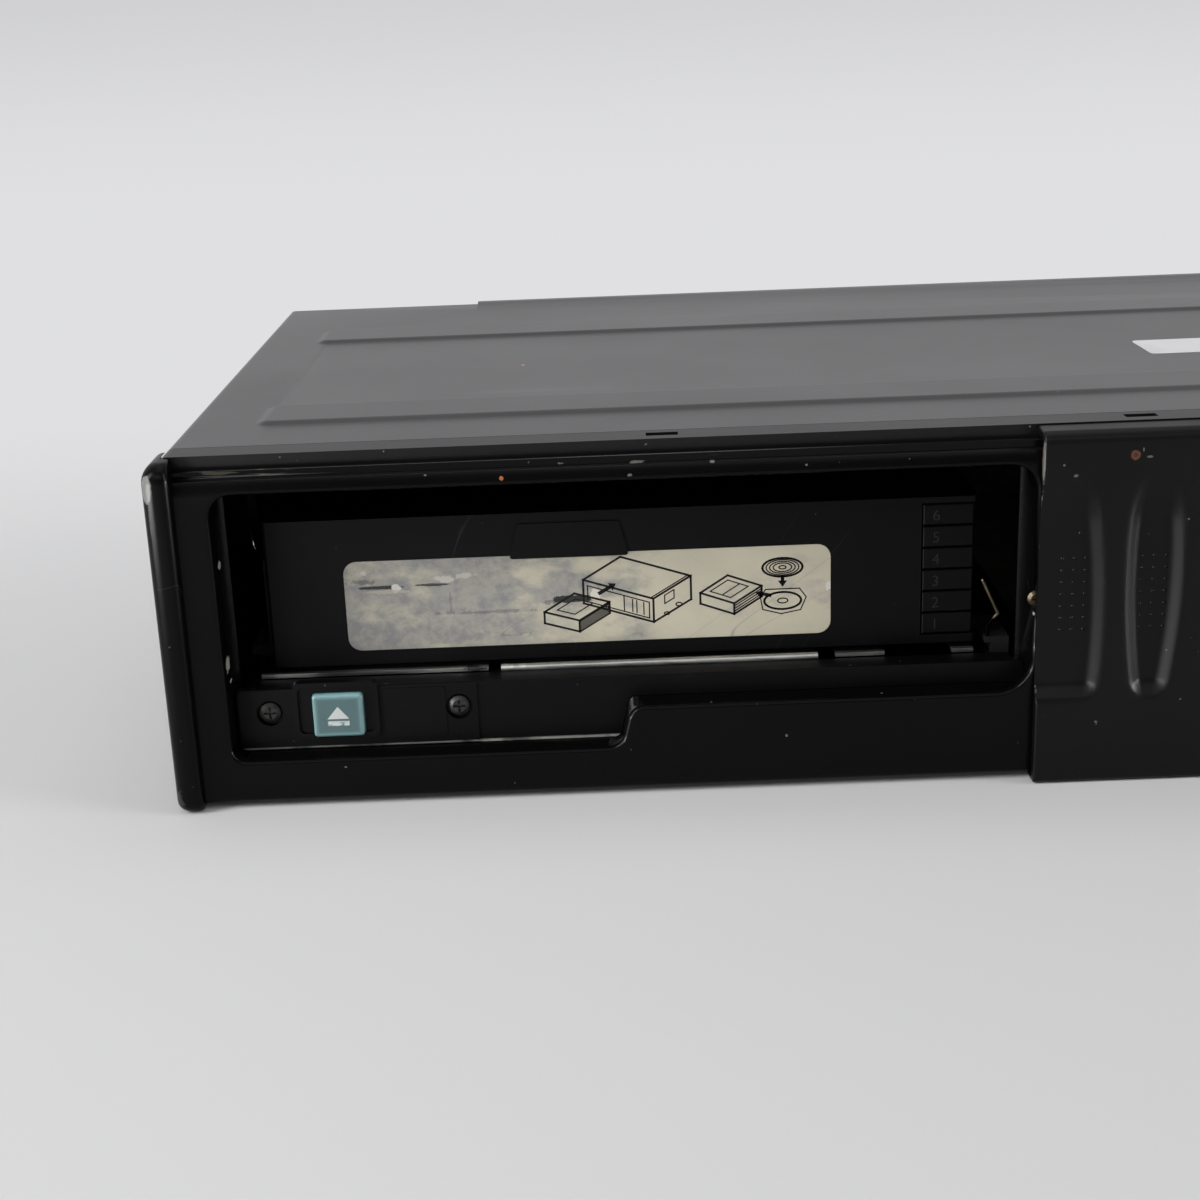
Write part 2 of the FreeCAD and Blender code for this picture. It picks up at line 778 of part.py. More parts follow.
def sliding_door():
    hook_front, hook_top = door_hook_back - door_hook, fascia_base + lower_guide_height - loose_gap
    inner, hook_low = door_front + door_skin, upper_guide_floor + 2 * loose_gap
    lip_low, base = door_top - door_lip, door_base + door_base_lip
    profile = [
        (door_front, door_base, 1.0), (door_front, door_top, door_crown_round), (door_hook_back, door_top),
        (door_hook_back, hook_low), (hook_front, hook_low), (hook_front, lip_low), (inner, lip_low, 0.8),
        (inner, base, 0.4), (hook_front, base), (hook_front, hook_top), (door_hook_back, hook_top),
        (door_hook_back, door_base),
    ]
    body = slab("yz", (door_left, door_right), profile)
    front = place(0, door_front, 0).y
    leading = [edge for edge in edges_on(body, "x", place(door_left, 0, 0).x)
               if edge.BoundBox.YMax < front + 1e-6]
    body = body.makeFillet(door_edge_round, leading)
    pad = panel("xz", (door_front + door_skin / 2, -0.2),
                (door_left + door_edge_round, door_left + scoop_edge + scoop_rib + scoop_width + 3),
                (scoop_low - 3, scoop_high + 3), 2)
    body = body.fuse(pad)
    for cutter in scoops():
        body = body.cut(cutter)
    dimple = turned("y", door_left + dimple_x, dimple_z, [
        (door_front - 1, 0), (door_front - 1, dimple_radius), (door_front, dimple_radius),
        (door_front + 0.4, dimple_radius - 0.5), (door_front + 0.4, 0)])
    groove = block((door_left + dimple_x + dimple_radius + 3, door_right + 1),
                   (door_front - 1, door_front + 0.4), about(groove_z, groove_width / 2))
    return body.cut(dimple).cut(groove).removeSplitter()


def scoops():
    """Cutters of the two finger scoops: one runs out at the door's edge, the other is closed."""
    middle = (scoop_low + scoop_high) / 2
    edge = door_left + scoop_edge
    first = [
        (door_left - 6, scoop_low), (edge - scoop_bow, scoop_low, 3.4), (edge, middle, 150),
        (edge - scoop_bow, scoop_high, 3.4), (door_left - 6, scoop_high),
    ]
    start = edge + scoop_rib
    end = start + scoop_width
    second = [
        (start + scoop_end_tuck, scoop_low, 3.4), (end - scoop_end_tuck, scoop_low, 3.4),
        (end, middle, 60), (end - scoop_end_tuck, scoop_high, 3.4),
        (start + scoop_end_tuck, scoop_high, 3.4), (start, middle, 60),
    ]
    cutters = []
    for corners in (first, second):
        cutter = slab("xz", (door_front - 2 * scoop_soft, door_front + scoop_depth), corners)
        floor = place(0, door_front + scoop_depth, 0).y
        cutters.append(cutter.makeFillet(scoop_soft, edges_on(cutter, "y", floor)))
    return cutters


def button_panel():
    left, low, high = opening_left + slip * 3, opening_low + slip, opening_high + slip
    back, snug = panel_front + panel_skin, tunnel_round + slip
    plate = slab("xz", (panel_front, back), [
        (left, low, snug), (step_low_x - slip, low, snug), (step_high_x - slip, high, tunnel_round - slip),
        (panel_right, high, snug), (panel_right, panel_top, 1.0), (left, panel_top, 1.0)])
    plate = plate.makeFillet(panel_edge, edges_on(plate, "y", place(0, panel_front, 0).y))
    shelf = block((left + 2, panel_right - 2), (back - 0.5, panel_shelf_back),
                  (panel_top - panel_shelf, panel_top))
    surround = panel("xz", (panel_front - 0.6, back), (surround_left, surround_right),
                     (surround_low, surround_high), 1.6)
    pocket = panel("xz", (panel_front - 1, panel_front - 0.1), (surround_left + 1, surround_right - 1),
                   (surround_low + 1, surround_high - 1), 1.0)
    pad = panel("xz", (panel_front - 0.15, panel_front + 0.5), (surround_right + 1, surround_right + 13),
                (surround_low - 0.5, panel_top - 0.6), 0.8)
    step = block((panel_step_x, panel_right + 1), (panel_front - 1, panel_front + 0.4),
                 (low - 1, panel_top + 1))
    bosses = [rod("y", x, panel_screw_z, (back - 0.5, boss_front), 3.4) for x in panel_screw_x]
    body = joined([plate.cut(step), shelf, surround, pad] + bosses).cut(pocket)
    half_w, half_h = button_width / 2 + 0.2, button_height / 2 + 0.2
    cuts = [panel("xz", (panel_front - 2, back + 1), about(button_x, half_w),
                  about(button_z, half_h), 0.9)]
    for x in panel_screw_x:
        seat, hole = (panel_front - 2, panel_front + 1), (panel_front - 1, boss_front + 1)
        cuts.append(rod("y", x, panel_screw_z, seat, panel_screw_head + 0.4))
        cuts.append(rod("y", x, panel_screw_z, hole, panel_screw_shank + slip))
    return body.cut(Part.makeCompound(cuts))


def button_panel_screws():
    seat = panel_front + 1.0
    screws = []
    for x in panel_screw_x:
        head = turned("y", x, panel_screw_z, [
            (seat - 0.9, 0), (seat - 0.9, 1.3), (seat - 0.5, panel_screw_head - 0.2),
            (seat, panel_screw_head),
            (seat, panel_screw_shank), (boss_back - 0.6, panel_screw_shank), (boss_back - 0.1, 0.6),
            (boss_back - 0.1, 0)])
        screws.append(head.cut(cross_recess(x, panel_screw_z, seat - 0.9, 0.6, 1.2)))
    return Part.makeCompound(screws)


def eject_button():
    half_w, half_h = button_width / 2, button_height / 2
    back = panel_front + panel_skin
    cap = panel("xz", (button_front, back + 0.5), about(button_x, half_w),
                about(button_z, half_h), 0.7)
    front = place(0, button_front, 0).y
    rim = [edge for edge in cap.Edges if edge.BoundBox.YMax < front + 1e-6]
    cap = cap.makeFillet(0.6, rim)
    flange = panel("xz", (back + loose_gap, back + 1.2), (button_x - half_w - 0.8, button_x + half_w + 0.8),
                   (button_z - half_h - 0.8, button_z + half_h - 0.2), 0.7)
    stem = rod("y", button_x, button_z, (back + 1, back + 2.2), 1.2)
    return joined([cap, flange, stem])


def eject_button_spring():
    span = (panel_front + panel_skin + 1.2, switch_front())
    return ribbed_sleeve("y", button_x, button_z, span, 2.4, 0.5, 4)


def switch_front():
    return panel_front + panel_skin + 1.2 + button_travel + 1.5


def ribbed_sleeve(axis, u, v, span, radius, wire, turns):
    """Coil spring drawn as a closed sleeve whose ripples are its turns."""
    pitch = (span[1] - span[0]) / turns
    outer = []
    for turn in range(turns):
        start = span[0] + turn * pitch
        outer += [(start, radius - wire), (start + pitch / 2, radius)]
    outer.append((span[1], radius - wire))
    inner = [(span[1], radius - 2 * wire), (span[0], radius - 2 * wire)]
    return turned(axis, u, v, outer + inner)


def front_board():
    left, right = opening_left + 2.5, step_low_x - front_board_end
    board = block((left, right), (boss_back, boss_back + board_thick), (opening_low - 3, panel_top - 1))
    tunnel_floor = opening_low - tunnel_wall
    clearance = block((left - 1, right + 1), (boss_back - 1, tunnel_back + slip),
                      (0, opening_low + tunnel_lip + slip))
    switch = block(about(button_x, 3), (switch_front(), boss_back), about(button_z, 3))
    lamp = turned("y", button_x + lamp_offset, button_z, [
        (boss_back - 2.4, 0), (boss_back - 2.4, 0.7), (boss_back - 1.6, 1.5), (boss_back, 1.5),
        (boss_back, 0)])
    plug_right, plug_front = right - plug_inset, boss_back + board_thick
    plug = block((plug_right - plug_length, plug_right), (plug_front, plug_front + plug_depth),
                 (tunnel_floor, tunnel_floor + 6))
    return joined([board.cut(clearance), switch, lamp, plug])


def cover_screws():
    screws = []
    for y in cover_screw_y:
        screw = turned("x", y, cover_screw_z, [
            (body_inset - 1.5, 0), (body_inset - 1.5, cover_screw_head - 0.8),
            (body_inset - 0.6, cover_screw_head), (body_inset, cover_screw_head),
            (body_inset, cover_screw_shank), (body_inset + 5, cover_screw_shank), (body_inset + 5, 0)])
        screws += [screw, mirrored(screw)]
    return Part.makeCompound(screws)


def mounting_bushes():
    inner = body_inset + 2 * sheet + slip
    end = inner + bush_length - sheet
    bushes = []
    for y in bush_y:
        bush = turned("x", y, bush_z, [
            (inner - sheet, bush_bore), (inner - sheet, bush_radius - 1.5), (inner, bush_radius - 1.5),
            (inner, bush_radius), (end, bush_radius), (end, bush_bore)])
        bushes += [bush, mirrored(bush)]
    return Part.makeCompound(bushes)


def angle_dial():
    """Mounting-angle selector behind a side window: disc, quarter-round grip and pivot."""
    wall = body_inset + 2 * sheet + slip
    disc = rod("x", dial_y, dial_z, (wall + slip, wall + slip + dial_disc), dial_radius)
    quarter = rod("x", dial_y, dial_z, (wall - sheet + 0.2, wall + 1), dial_window / 2 - 1.2)
    keep = block(about(wall, 3), (dial_y, dial_y + dial_radius), (dial_z, dial_z + dial_radius))
    pointer = block((wall - sheet + 0.1, wall + 1), (dial_y - 8, dial_y + 1), about(dial_z, 1.2))
    pivot = rod("x", dial_y, dial_z, (wall + dial_disc, wall + dial_room + dial_pivot_end), dial_pivot_radius)
    return joined([disc, quarter.common(keep), pointer, pivot])


def magazine_floor_plate():
    low, start = floor_top - floor_sheet, floor_front + floor_setback
    top = block((floor_left, floor_right), (start, floor_back), (low, floor_top))
    lips = [block(span, (floor_front, start + 1), (low, floor_top)) for span in floor_lips]
    rolled = rod("x", floor_front + 0.2, low + 0.3, floor_roll, roll_radius)
    rolled = rolled.fuse(block(floor_roll, (floor_front, start + 1), (low, low + floor_sheet)))
    sides = [block((x, x + floor_sheet), (start, floor_back), (sheet, floor_top))
             for x in (floor_left, floor_right - floor_sheet)]
    relief = [panel("xy", (low - 1, floor_top + 1), about(x, relief_half_width),
                    (relief_near, relief_far), 6) for x in about(magazine_middle_x, relief_spread)]
    return joined([top] + lips + [rolled] + sides).cut(Part.makeCompound(relief))


def magazine_guides():
    along = (floor_front + floor_setback, magazine_back + 1)
    inner, outer, top = magazine_left - tray_side_gap, floor_left - 1.4, floor_top + guide_height
    left_rail = slab("xz", along, [
        (outer, floor_top), (inner, floor_top), (inner, top, 0.5), (inner - guide_sheet, top, 0.5),
        (inner - guide_sheet, floor_top + guide_sheet), (outer, floor_top + guide_sheet)])
    right = magazine_right + tray_side_gap
    right_rail = block((right, right + 1.4), along, (floor_top, floor_top + guide_sheet))
    return Part.makeCompound([left_rail, right_rail])


def latch_block():
    x, along = floor_right, (tunnel_back + 0.4, tunnel_back + 0.4 + latch_length)
    upright = block((x, x + latch_width), along, (opening_high + 1, floor_top))
    cap = block((x - 1.3, x + latch_width), along, (floor_top, floor_top + 1.2))
    bore = rod("z", x - 0.7, tunnel_back + 1.2, (opening_high, floor_top + 3), latch_wire_radius)
    return joined([upright, cap]).cut(bore)


def latch_wire():
    """Bent spring wire that stands in the latch block and leans on the magazine's corner."""
    x, y = floor_right - 0.7, tunnel_back + 1.2
    route = [(x, y, floor_top + 0.01), (x, y, floor_top + 3.3), (x + 1.7, y - 1.5, floor_top + 6.3),
             (x - 1.4, y - 1.2, floor_top + 13.1)]
    radius = latch_wire_radius
    pieces = []
    for start, end in zip(route, route[1:]):
        first, last = place(*start), place(*end)
        pieces.append(Part.makeCylinder(radius, (last - first).Length, first, last - first))
        pieces.append(Part.makeSphere(radius, last))
    return joined(pieces)


def magazine_case():
    x, y = (magazine_left, magazine_right), (magazine_face, magazine_back)
    top = magazine_top - magazine_lid
    shell = panel("xy", (magazine_base, top), x, y, magazine_edge)
    inner = block((x[0] + magazine_wall, x[1] + 1), (y[0] + magazine_wall, y[1] - magazine_wall),
                  (magazine_base + magazine_floor, top + 1))
    mouth = block((cell_left - tab_gap, x[1] + 1), (y[0] - 1, y[0] + magazine_wall + 1),
                  (cell_base - tab_gap / 2, top + 1))
    body = shell.cut(inner).cut(mouth)
    ribs = []
    for level in range(1, disc_count):
        z = cell_base + level * cell_pitch
        low = z - (cell_pitch - tray_thick) / 2 + tray_lift - rib_thick / 2
        ribs.append(block((x[0] + 1, cell_left - 2), (y[0] + 1, y[0] + magazine_wall + rib_depth),
                          (low, low + rib_thick)))
        ribs.append(block((x[0] + 1, x[1] - 1), (y[1] - magazine_wall - rib_depth, y[1] - 1),
                          (low, low + rib_thick)))
    wide, narrow = push_plate_half, push_plate_half - 1.8
    plate = slab("xz", (y[0] - push_plate_proud, y[0] + 0.5), [
        (push_plate_x - wide, push_plate_low, 0.5), (push_plate_x + wide, push_plate_low, 0.5),
        (push_plate_x + narrow, push_plate_high, 0.5), (push_plate_x - narrow, push_plate_high, 0.5)])
    window = panel("xy", (magazine_base - 1, magazine_base + magazine_floor + 1),
                   about(magazine_middle_x, tray_window / 2), about(magazine_middle_y, tray_window / 2), 8)
    holes = [rod("z", sx, sy, (top - magazine_screw_reach - 1, top + 1), 0.8)
             for sx, sy in magazine_screw_spots()]
    pillars = [rod("z", sx, sy, (magazine_base + 0.5, top), 1.7).common(
        block((x[0], x[0] + 4), (0, body_depth), (0, top))) for sx, sy in magazine_screw_spots()]
    return joined([body, plate] + ribs + pillars).cut(Part.makeCompound([window] + holes))


def magazine_screw_spots():
    x = magazine_left + 1.7
    return [(x, magazine_face + 1.9), (x, magazine_back - 1.9)]


def magazine_lid_plate():
    low = magazine_top - magazine_lid
    plate = panel("xy", (low, magazine_top), (magazine_left, magazine_right),
                  (magazine_face, magazine_back), magazine_edge)
    holes = [rod("z", sx, sy, (low - 1, magazine_top + 1), 0.9) for sx, sy in magazine_screw_spots()]
    sinks = [rod("z", sx, sy, (magazine_top - 0.7, magazine_top + 1), 1.5)
             for sx, sy in magazine_screw_spots()]
    ramp_front = magazine_face + lid_ramp_inset
    ramp = panel("xy", (magazine_top - 0.4, magazine_top + 1), about(magazine_middle_x, lid_ramp_half),
                 (ramp_front, ramp_front + lid_ramp_length), 3)
    return plate.cut(Part.makeCompound(holes + sinks + [ramp]))


def magazine_screws():
    end = magazine_top - magazine_lid - magazine_screw_reach
    seat, top = magazine_top - 0.7, magazine_top - 0.1
    return Part.makeCompound([
        turned("z", sx, sy, [(end, 0), (end, 0.8), (seat, 0.8), (seat, 1.4), (top, 1.4), (top, 0)])
        for sx, sy in magazine_screw_spots()])


def tray(number):
    low = tray_base + (number - 1) * cell_pitch
    left = magazine_left + magazine_wall + 3.4
    right = magazine_right - tray_slack
    front = magazine_face + magazine_wall + tray_side_gap / 2
    back = magazine_back - magazine_wall - tray_side_gap / 2
    plate = panel("xy", (low, low + tray_thick), (left, right), (front, back), 4)
    middle = rod("z", magazine_middle_x, magazine_middle_y, (low + tray_floor, low + tray_thick + 1),
                 disc_radius + disc_rim_gap)
    hole = rod("z", magazine_middle_x, magazine_middle_y, (low - 1, low + tray_thick), tray_hole)
    window = panel("xy", (low - 1, low + tray_thick + 1), (magazine_middle_x, right + 1),
                   about(magazine_middle_y, tray_window / 2))
    tab_low = cell_base + (number - 1) * cell_pitch + tab_gap / 2
    tab = block((cell_left, right), (magazine_face, front + tab_reach),
                (tab_low, tab_low + cell_pitch - tab_gap))
    tab = tab.makeFillet(tab_round, edges_on(tab, "y", place(0, magazine_face, 0).y))
    neck = block((cell_left + 1, right), (magazine_face + 1, front + 6), (low, low + tray_thick))
    return joined([plate.cut(middle), neck, tab]).cut(hole).cut(window)


def disc(number):
    x, y = magazine_middle_x, magazine_middle_y
    low = tray_base + tray_floor + (number - 1) * cell_pitch
    ring = rod("z", x, y, (low, low + disc_thick), disc_radius)
    return ring.cut(rod("z", x, y, (low - 1, low + disc_thick + 1), disc_bore))


def mechanism_frame():
    floor = block((frame_left, frame_right), (frame_front, frame_back), (frame_floor, frame_floor + sheet))
    along, up = (cam_left, frame_right), (frame_floor, frame_top)
    front = panel("xz", (frame_front, frame_front + sheet), along, up, 3)
    back = panel("xz", (frame_back - sheet, frame_back), along, up, 3)
    shelf_back = body_depth - shelf_rear_gap
    bracket_left = lift_motor_front - sheet
    shelf = block((bracket_left, lift_motor_front + lift_motor_length + 7), (frame_back - 1, shelf_back),
                  (frame_floor, frame_floor + sheet))
    bracket = block((bracket_left, lift_motor_front), (frame_back + 2.5, shelf_back),
                    (frame_floor, worm_z() + lift_motor_radius + 0.2))
    body = joined([floor, front, back, shelf, bracket] + cam_studs())
    through = (frame_front - 1, frame_back + 1)
    cuts = [rod("y", lift_axis_x, lift_axis_z, through, axle_radius + running_gap),
            rod("x", wheel_middle(), worm_z(), (bracket_left - 1, lift_motor_front + 1), worm_radius + 0.4)]
    for x in pin_x:
        cuts.append(slot("xz", through, (x, pin_z - slip), (x, pin_z + deck_travel + slip),
                         pin_radius + slip))
    for x in damper_x:
        for y in damper_y:
            cuts.append(rod("z", x, y, (frame_floor - 1, frame_floor + 2), 2.5))
    return body.cut(Part.makeCompound(cuts))


def cam_studs():
    studs = []
    for x, z in ((stud_high_x, stud_high_z), (stud_low_x, stud_low_z)):
        studs.append(rod("y", x, z, (cam_front - 0.9, frame_front + 0.5), pin_radius))
        studs.append(rod("y", x, z, (cam_front - 0.9, cam_front - 0.3), stud_head))
        studs.append(rod("y", x, z, (frame_back - 0.5, cam_rear + cam_sheet + 0.9), pin_radius))
        studs.append(rod("y", x, z, (cam_rear + cam_sheet + 0.3, cam_rear + cam_sheet + 0.9), stud_head))
    return studs


def wheel_middle():
    return wheel_front + wheel_width / 2


def worm_z():
    return lift_axis_z + wheel_module * (wheel_teeth / 2 + 1) + worm_radius + 0.6


def cam_plate(front):
    """Sheet cam with a rack along its foot, two sloping lift slots and two guide slots."""
    span = (front, front + cam_sheet)
    rack = slab("xz", span, rack_corners(lift_axis_x - deck_travel - 8, lift_axis_x + 8, rack_z + 4))
    sheet_part = panel("xz", span, (cam_left, cam_right), (rack_z + tooth_module + 0.4, cam_top), 2)
    body = joined([rack, sheet_part])
    cuts = [slot("xz", (front - 1, front + cam_sheet + 1), (x, pin_z),
                 (x - deck_travel, pin_z + deck_travel), pin_radius + slip) for x in pin_x]
    for x, z in ((stud_high_x, stud_high_z), (stud_low_x, stud_low_z)):
        cuts.append(slot("xz", (front - 1, front + cam_sheet + 1), (x - deck_travel - slip, z),
                         (x + slip, z), pin_radius + slip))
    return body.cut(Part.makeCompound(cuts))


def lift_shaft():
    bar = rod("y", lift_axis_x, lift_axis_z, (cam_front - 0.6, wheel_front + wheel_width + 1), axle_radius)
    teeth = gear_outline(lift_axis_x, lift_axis_z, pinion_teeth, tooth_module, tooth_slack)
    pinions = [slab("xz", (y, y + cam_sheet), teeth) for y in (cam_front, cam_rear)]
    wheel = slab("xz", (wheel_front, wheel_front + wheel_width),
                 gear_outline(lift_axis_x, lift_axis_z, wheel_teeth, wheel_module, tooth_slack))
    return joined([bar] + pinions + [wheel])


def lift_worm():
    """Four-start worm drawn as a ringed cylinder, on the motor's shaft."""
    y, z = wheel_middle(), worm_z()
    rings = [(lift_axis_x - 6, 0), (lift_axis_x - 6, worm_radius - 0.5)]
    for i in range(8):
        start = lift_axis_x - 6 + i * 1.5
        rings += [(start + 0.3, worm_radius - 0.5), (start + 0.6, worm_radius), (start + 1.0, worm_radius),
                  (start + 1.3, worm_radius - 0.5)]
    end = lift_motor_front + motor_shaft_reach - 1
    rings += [(lift_axis_x + 6.4, worm_radius - 0.5), (lift_axis_x + 6.4, shaft_radius),
              (end, shaft_radius), (end, 0)]
    return turned("x", y, z, rings)


def lift_motor():
    y, z = wheel_middle(), worm_z()
    start, end = lift_motor_front, lift_motor_front + lift_motor_length
    bore, bore_end = shaft_radius + running_gap, lift_motor_front + motor_shaft_reach
    can = turned("x", y, z, [
        (start, bore), (start, lift_motor_radius), (end - 1, lift_motor_radius),
        (end, lift_motor_radius - 1), (end, 0), (bore_end, 0), (bore_end, bore)])
    flats = [block((start - 1, end + 1), about(y, 10), span)
             for span in ((z + lift_motor_radius - 1, z + 10), (z - 10, z - lift_motor_radius + 1))]
    return can.cut(Part.makeCompound(flats))


def dampers():
    """Rubber grommets on the chassis floor that carry the mechanism frame."""
    top = frame_floor + sheet
    profile = [
        (sheet, 0), (sheet, damper_radius), (sheet + 1.4, damper_radius),
        (sheet + 2.0, damper_radius - 1.2), (frame_floor - 0.6, damper_radius - 0.6),
        (frame_floor, damper_radius), (frame_floor, 2.4), (top, 2.4), (top, 3.8), (top + 1.2, 3.4),
        (top + 1.2, 0)]
    return Part.makeCompound([turned("z", x, y, profile) for x in damper_x for y in damper_y])


def guide_posts():
    base, collar = frame_floor + sheet, post_radius + 1.5
    profile = [(base, 0), (base, collar), (base + 1.5, collar), (base + 1.5, post_radius),
               (post_top - 0.6, post_radius), (post_top, post_radius - 0.6), (post_top, 0)]
    return Part.makeCompound([turned("z", post_x, y, profile) for y in post_y])


def deck_plate():
    plate = panel("xy", (deck_level, deck_level + deck_sheet), (deck_left, deck_right),
                  (deck_front, deck_back), 4)
    flanges = [block((deck_left + 5, deck_right - 5), span, (deck_level, deck_level + deck_flange))
               for span in ((deck_front, deck_front + sheet), (deck_back - sheet, deck_back))]
    pins = []
    for x in pin_x:
        pins.append(rod("y", x, pin_z, (cam_front - 0.2, deck_front + 0.5), pin_radius))
        pins.append(rod("y", x, pin_z, (deck_back - 0.5, cam_rear + cam_sheet + 0.2), pin_radius))
    holders = []
    for x in (sled_low(), sled_high()):
        span = (x, x + holder_sheet)
        holders.append(block(span, about(spindle_y - rod_spread, 3), (deck_level, rod_z + 3)))
        holders.append(block(span, (spindle_y + rod_spread - 3, spindle_y + screw_offset + 3.5),
                             (deck_level, rod_z + 3)))
    body = joined([plate] + flanges + pins + holders)
    run, through = (sled_low() - 1, sled_high() + 3), (deck_level - 1, deck_level + 3)
    bores = [rod("x", y, rod_z, run, rod_radius) for y in about(spindle_y, rod_spread)]
    bores.append(rod("x", spindle_y + screw_offset, rod_z, run, rod_radius + running_gap))
    bores.append(rod("z", spindle_x, spindle_y, through, 4.8))
    motor_seat = sled_high() + holder_sheet
    bores.append(block((motor_seat, motor_seat + feed_motor_length + slip),
                       about(spindle_y + screw_offset, feed_motor_radius), through))
    bores.append(panel("xy", through, (spindle_x + 17, sled_high() - 3), about(spindle_y, 10), 2))
    return body.cut(Part.makeCompound(bores))


def sled_low():
    return spindle_x + sled_start - sled_half - 3


def sled_high():
    return spindle_x + sled_start + sled_travel + sled_half + 1


def spindle_motor():
    top, low, bore = deck_level, deck_level - motor_height, shaft_radius + running_gap
    return turned("z", spindle_x, spindle_y, [
        (low, 0), (low, motor_radius - 1), (low + 1, motor_radius), (top - 1, motor_radius),
        (top, motor_radius - 1), (top, 4.8), (top + 1.4, 4.8), (top + 1.4, bore), (low + 1.2, bore),
        (low + 1.2, 0)])


def turntable():
    """Disc seat with its centring cone, on the spindle."""
    seat = spindle_height
    return turned("z", spindle_x, spindle_y, [
        (deck_level - motor_height + 1.4, 0), (deck_level - motor_height + 1.4, shaft_radius),
        (deck_level + 2.4, shaft_radius), (deck_level + 2.4, 5), (seat - 2.6, 6),
        (seat - 1.6, spindle_radius - 0.6), (seat - 0.8, spindle_radius), (seat, spindle_radius),
        (seat, cone_radius), (seat + 0.8, cone_radius), (seat + cone_height, cone_radius - 1.8),
        (seat + cone_height, 0)])


def pickup_sled():
    x = spindle_x + sled_start
    low, high = rod_z - 2.2, rod_z + 2.6
    body = panel("xy", (low, high), about(x, sled_half), about(spindle_y, rod_spread + 3), 3)
    belly = panel("xy", (deck_level - 3, low + 1), about(x, belly_length / 2),
                  about(spindle_y, belly_width / 2), 1.5)
    arm = block(about(x, sled_arm / 2), (spindle_y + rod_spread, spindle_y + screw_offset + 3),
                (rod_z + 1.7, high))
    cuts = [rod("x", y, rod_z, about(x, sled_half + 1), rod_radius + running_gap)
            for y in about(spindle_y, rod_spread)]
    cuts.append(rod("z", x, spindle_y, (high - 1.2, high + 1), 5.2))
    return joined([body, belly, arm]).cut(Part.makeCompound(cuts))


def objective_lens():
    x = spindle_x + sled_start
    top = rod_z + 2.6 - 1.2
    return turned("z", x, spindle_y, [
        (top, 0), (top, 4.6), (top + 1.5, 4.6), (top + 1.5, 3.2), (top + 2.2, 3.0), (top + 2.6, 1.8),
        (top + 2.8, 0)])


def guide_rods():
    return Part.makeCompound([rod("x", y, rod_z, (sled_low() - 0.6, sled_high() + 2.6), rod_radius)
                              for y in about(spindle_y, rod_spread)])


def lead_screw():
    y = spindle_y + screw_offset
    profile = [(sled_low() - 0.8, 0), (sled_low() - 0.8, rod_radius), (sled_low() + 3, rod_radius)]
    x = sled_low() + 3
    while x < sled_high() - 4:
        profile += [(x + 0.5, rod_radius - 0.3), (x + 1.1, rod_radius - 0.3), (x + 1.5, rod_radius)]
        x += 2.0
    end = sled_high() + holder_sheet
    profile += [(end - slip, rod_radius), (end - slip, shaft_radius), (end + 2.8, shaft_radius),
                (end + 2.8, 0)]
    return turned("x", y, rod_z, profile)


def feed_motor():
    start = sled_high() + holder_sheet
    end, radius, bore = start + feed_motor_length, feed_motor_radius - 0.6, shaft_radius + running_gap
    return turned("x", spindle_y + screw_offset, rod_z, [
        (start, bore), (start, radius - 0.2), (start + 0.8, radius), (end, radius), (end, 0),
        (start + 3, 0), (start + 3, bore)])


def clamp_bridge():
    """Arm that slides on the two posts and holds the clamper over the turntable."""
    nose, shoulder, back = spindle_x - clamp_nose, spindle_x + clamp_shoulder, post_x - 8
    arm = [
        (nose, spindle_y - clamp_nose_half, 6),
        (shoulder, spindle_y - clamp_shoulder_half, clamp_shoulder_half),
        (back, post_y[0] - 7, 6), (post_x + 7, post_y[0] - 7, 4), (post_x + 7, post_y[1] + 7, 4),
        (back, post_y[1] + 7, 6),
        (shoulder, spindle_y + clamp_shoulder_half, clamp_shoulder_half),
        (nose, spindle_y + clamp_nose_half, 6)]
    plate = slab("xy", (clamp_plate, clamp_plate + clamp_sheet), arm)
    sleeves = [rod("z", post_x, y, (clamp_base + 0.4, clamp_plate + clamp_sleeve), sleeve_radius)
               for y in post_y]
    spine = block((spindle_x + 12, post_x), about(spindle_y, 1), (clamp_plate, clamp_plate + clamp_spine))
    body = joined([plate, spine] + sleeves)
    cuts = [rod("z", post_x, y, (0, cover_top), post_radius + running_gap) for y in post_y]
    cuts.append(rod("z", spindle_x, spindle_y, (0, cover_top), clamper_neck + 0.6))
    near = spindle_y - clamp_window_reach
    window = slab("xy", (clamp_plate - 1, clamp_plate + 2), [
        (spindle_x + clamp_window_start, near, 5), (post_x - 12, post_y[0] + 10, 5),
        (post_x - 12, spindle_y - 10, 5), (spindle_x + clamp_window_start, spindle_y - 10, 4)])
    twin = window.mirror(place(0, spindle_y, 0), FreeCAD.Vector(0, 1, 0))
    return body.cut(Part.makeCompound(cuts + [window, twin]))


def clamper():
    plate_top = clamp_plate + clamp_sheet
    return turned("z", spindle_x, spindle_y, [
        (clamp_base, 8.0), (clamp_base, clamper_radius), (clamp_base + 1.6, clamper_radius),
        (clamp_base + 2.6, clamper_neck + 1), (clamp_base + 2.6, clamper_neck),
        (plate_top + slip, clamper_neck), (plate_top + slip, clamper_neck + 3),
        (plate_top + 1.6, clamper_neck + 2.6), (plate_top + 1.6, 0), (clamp_base + 3.4, 0),
        (clamp_base + 3.4, 5.0), (clamp_base + 2.2, 5.0), (clamp_base + 2.2, 8.0)])


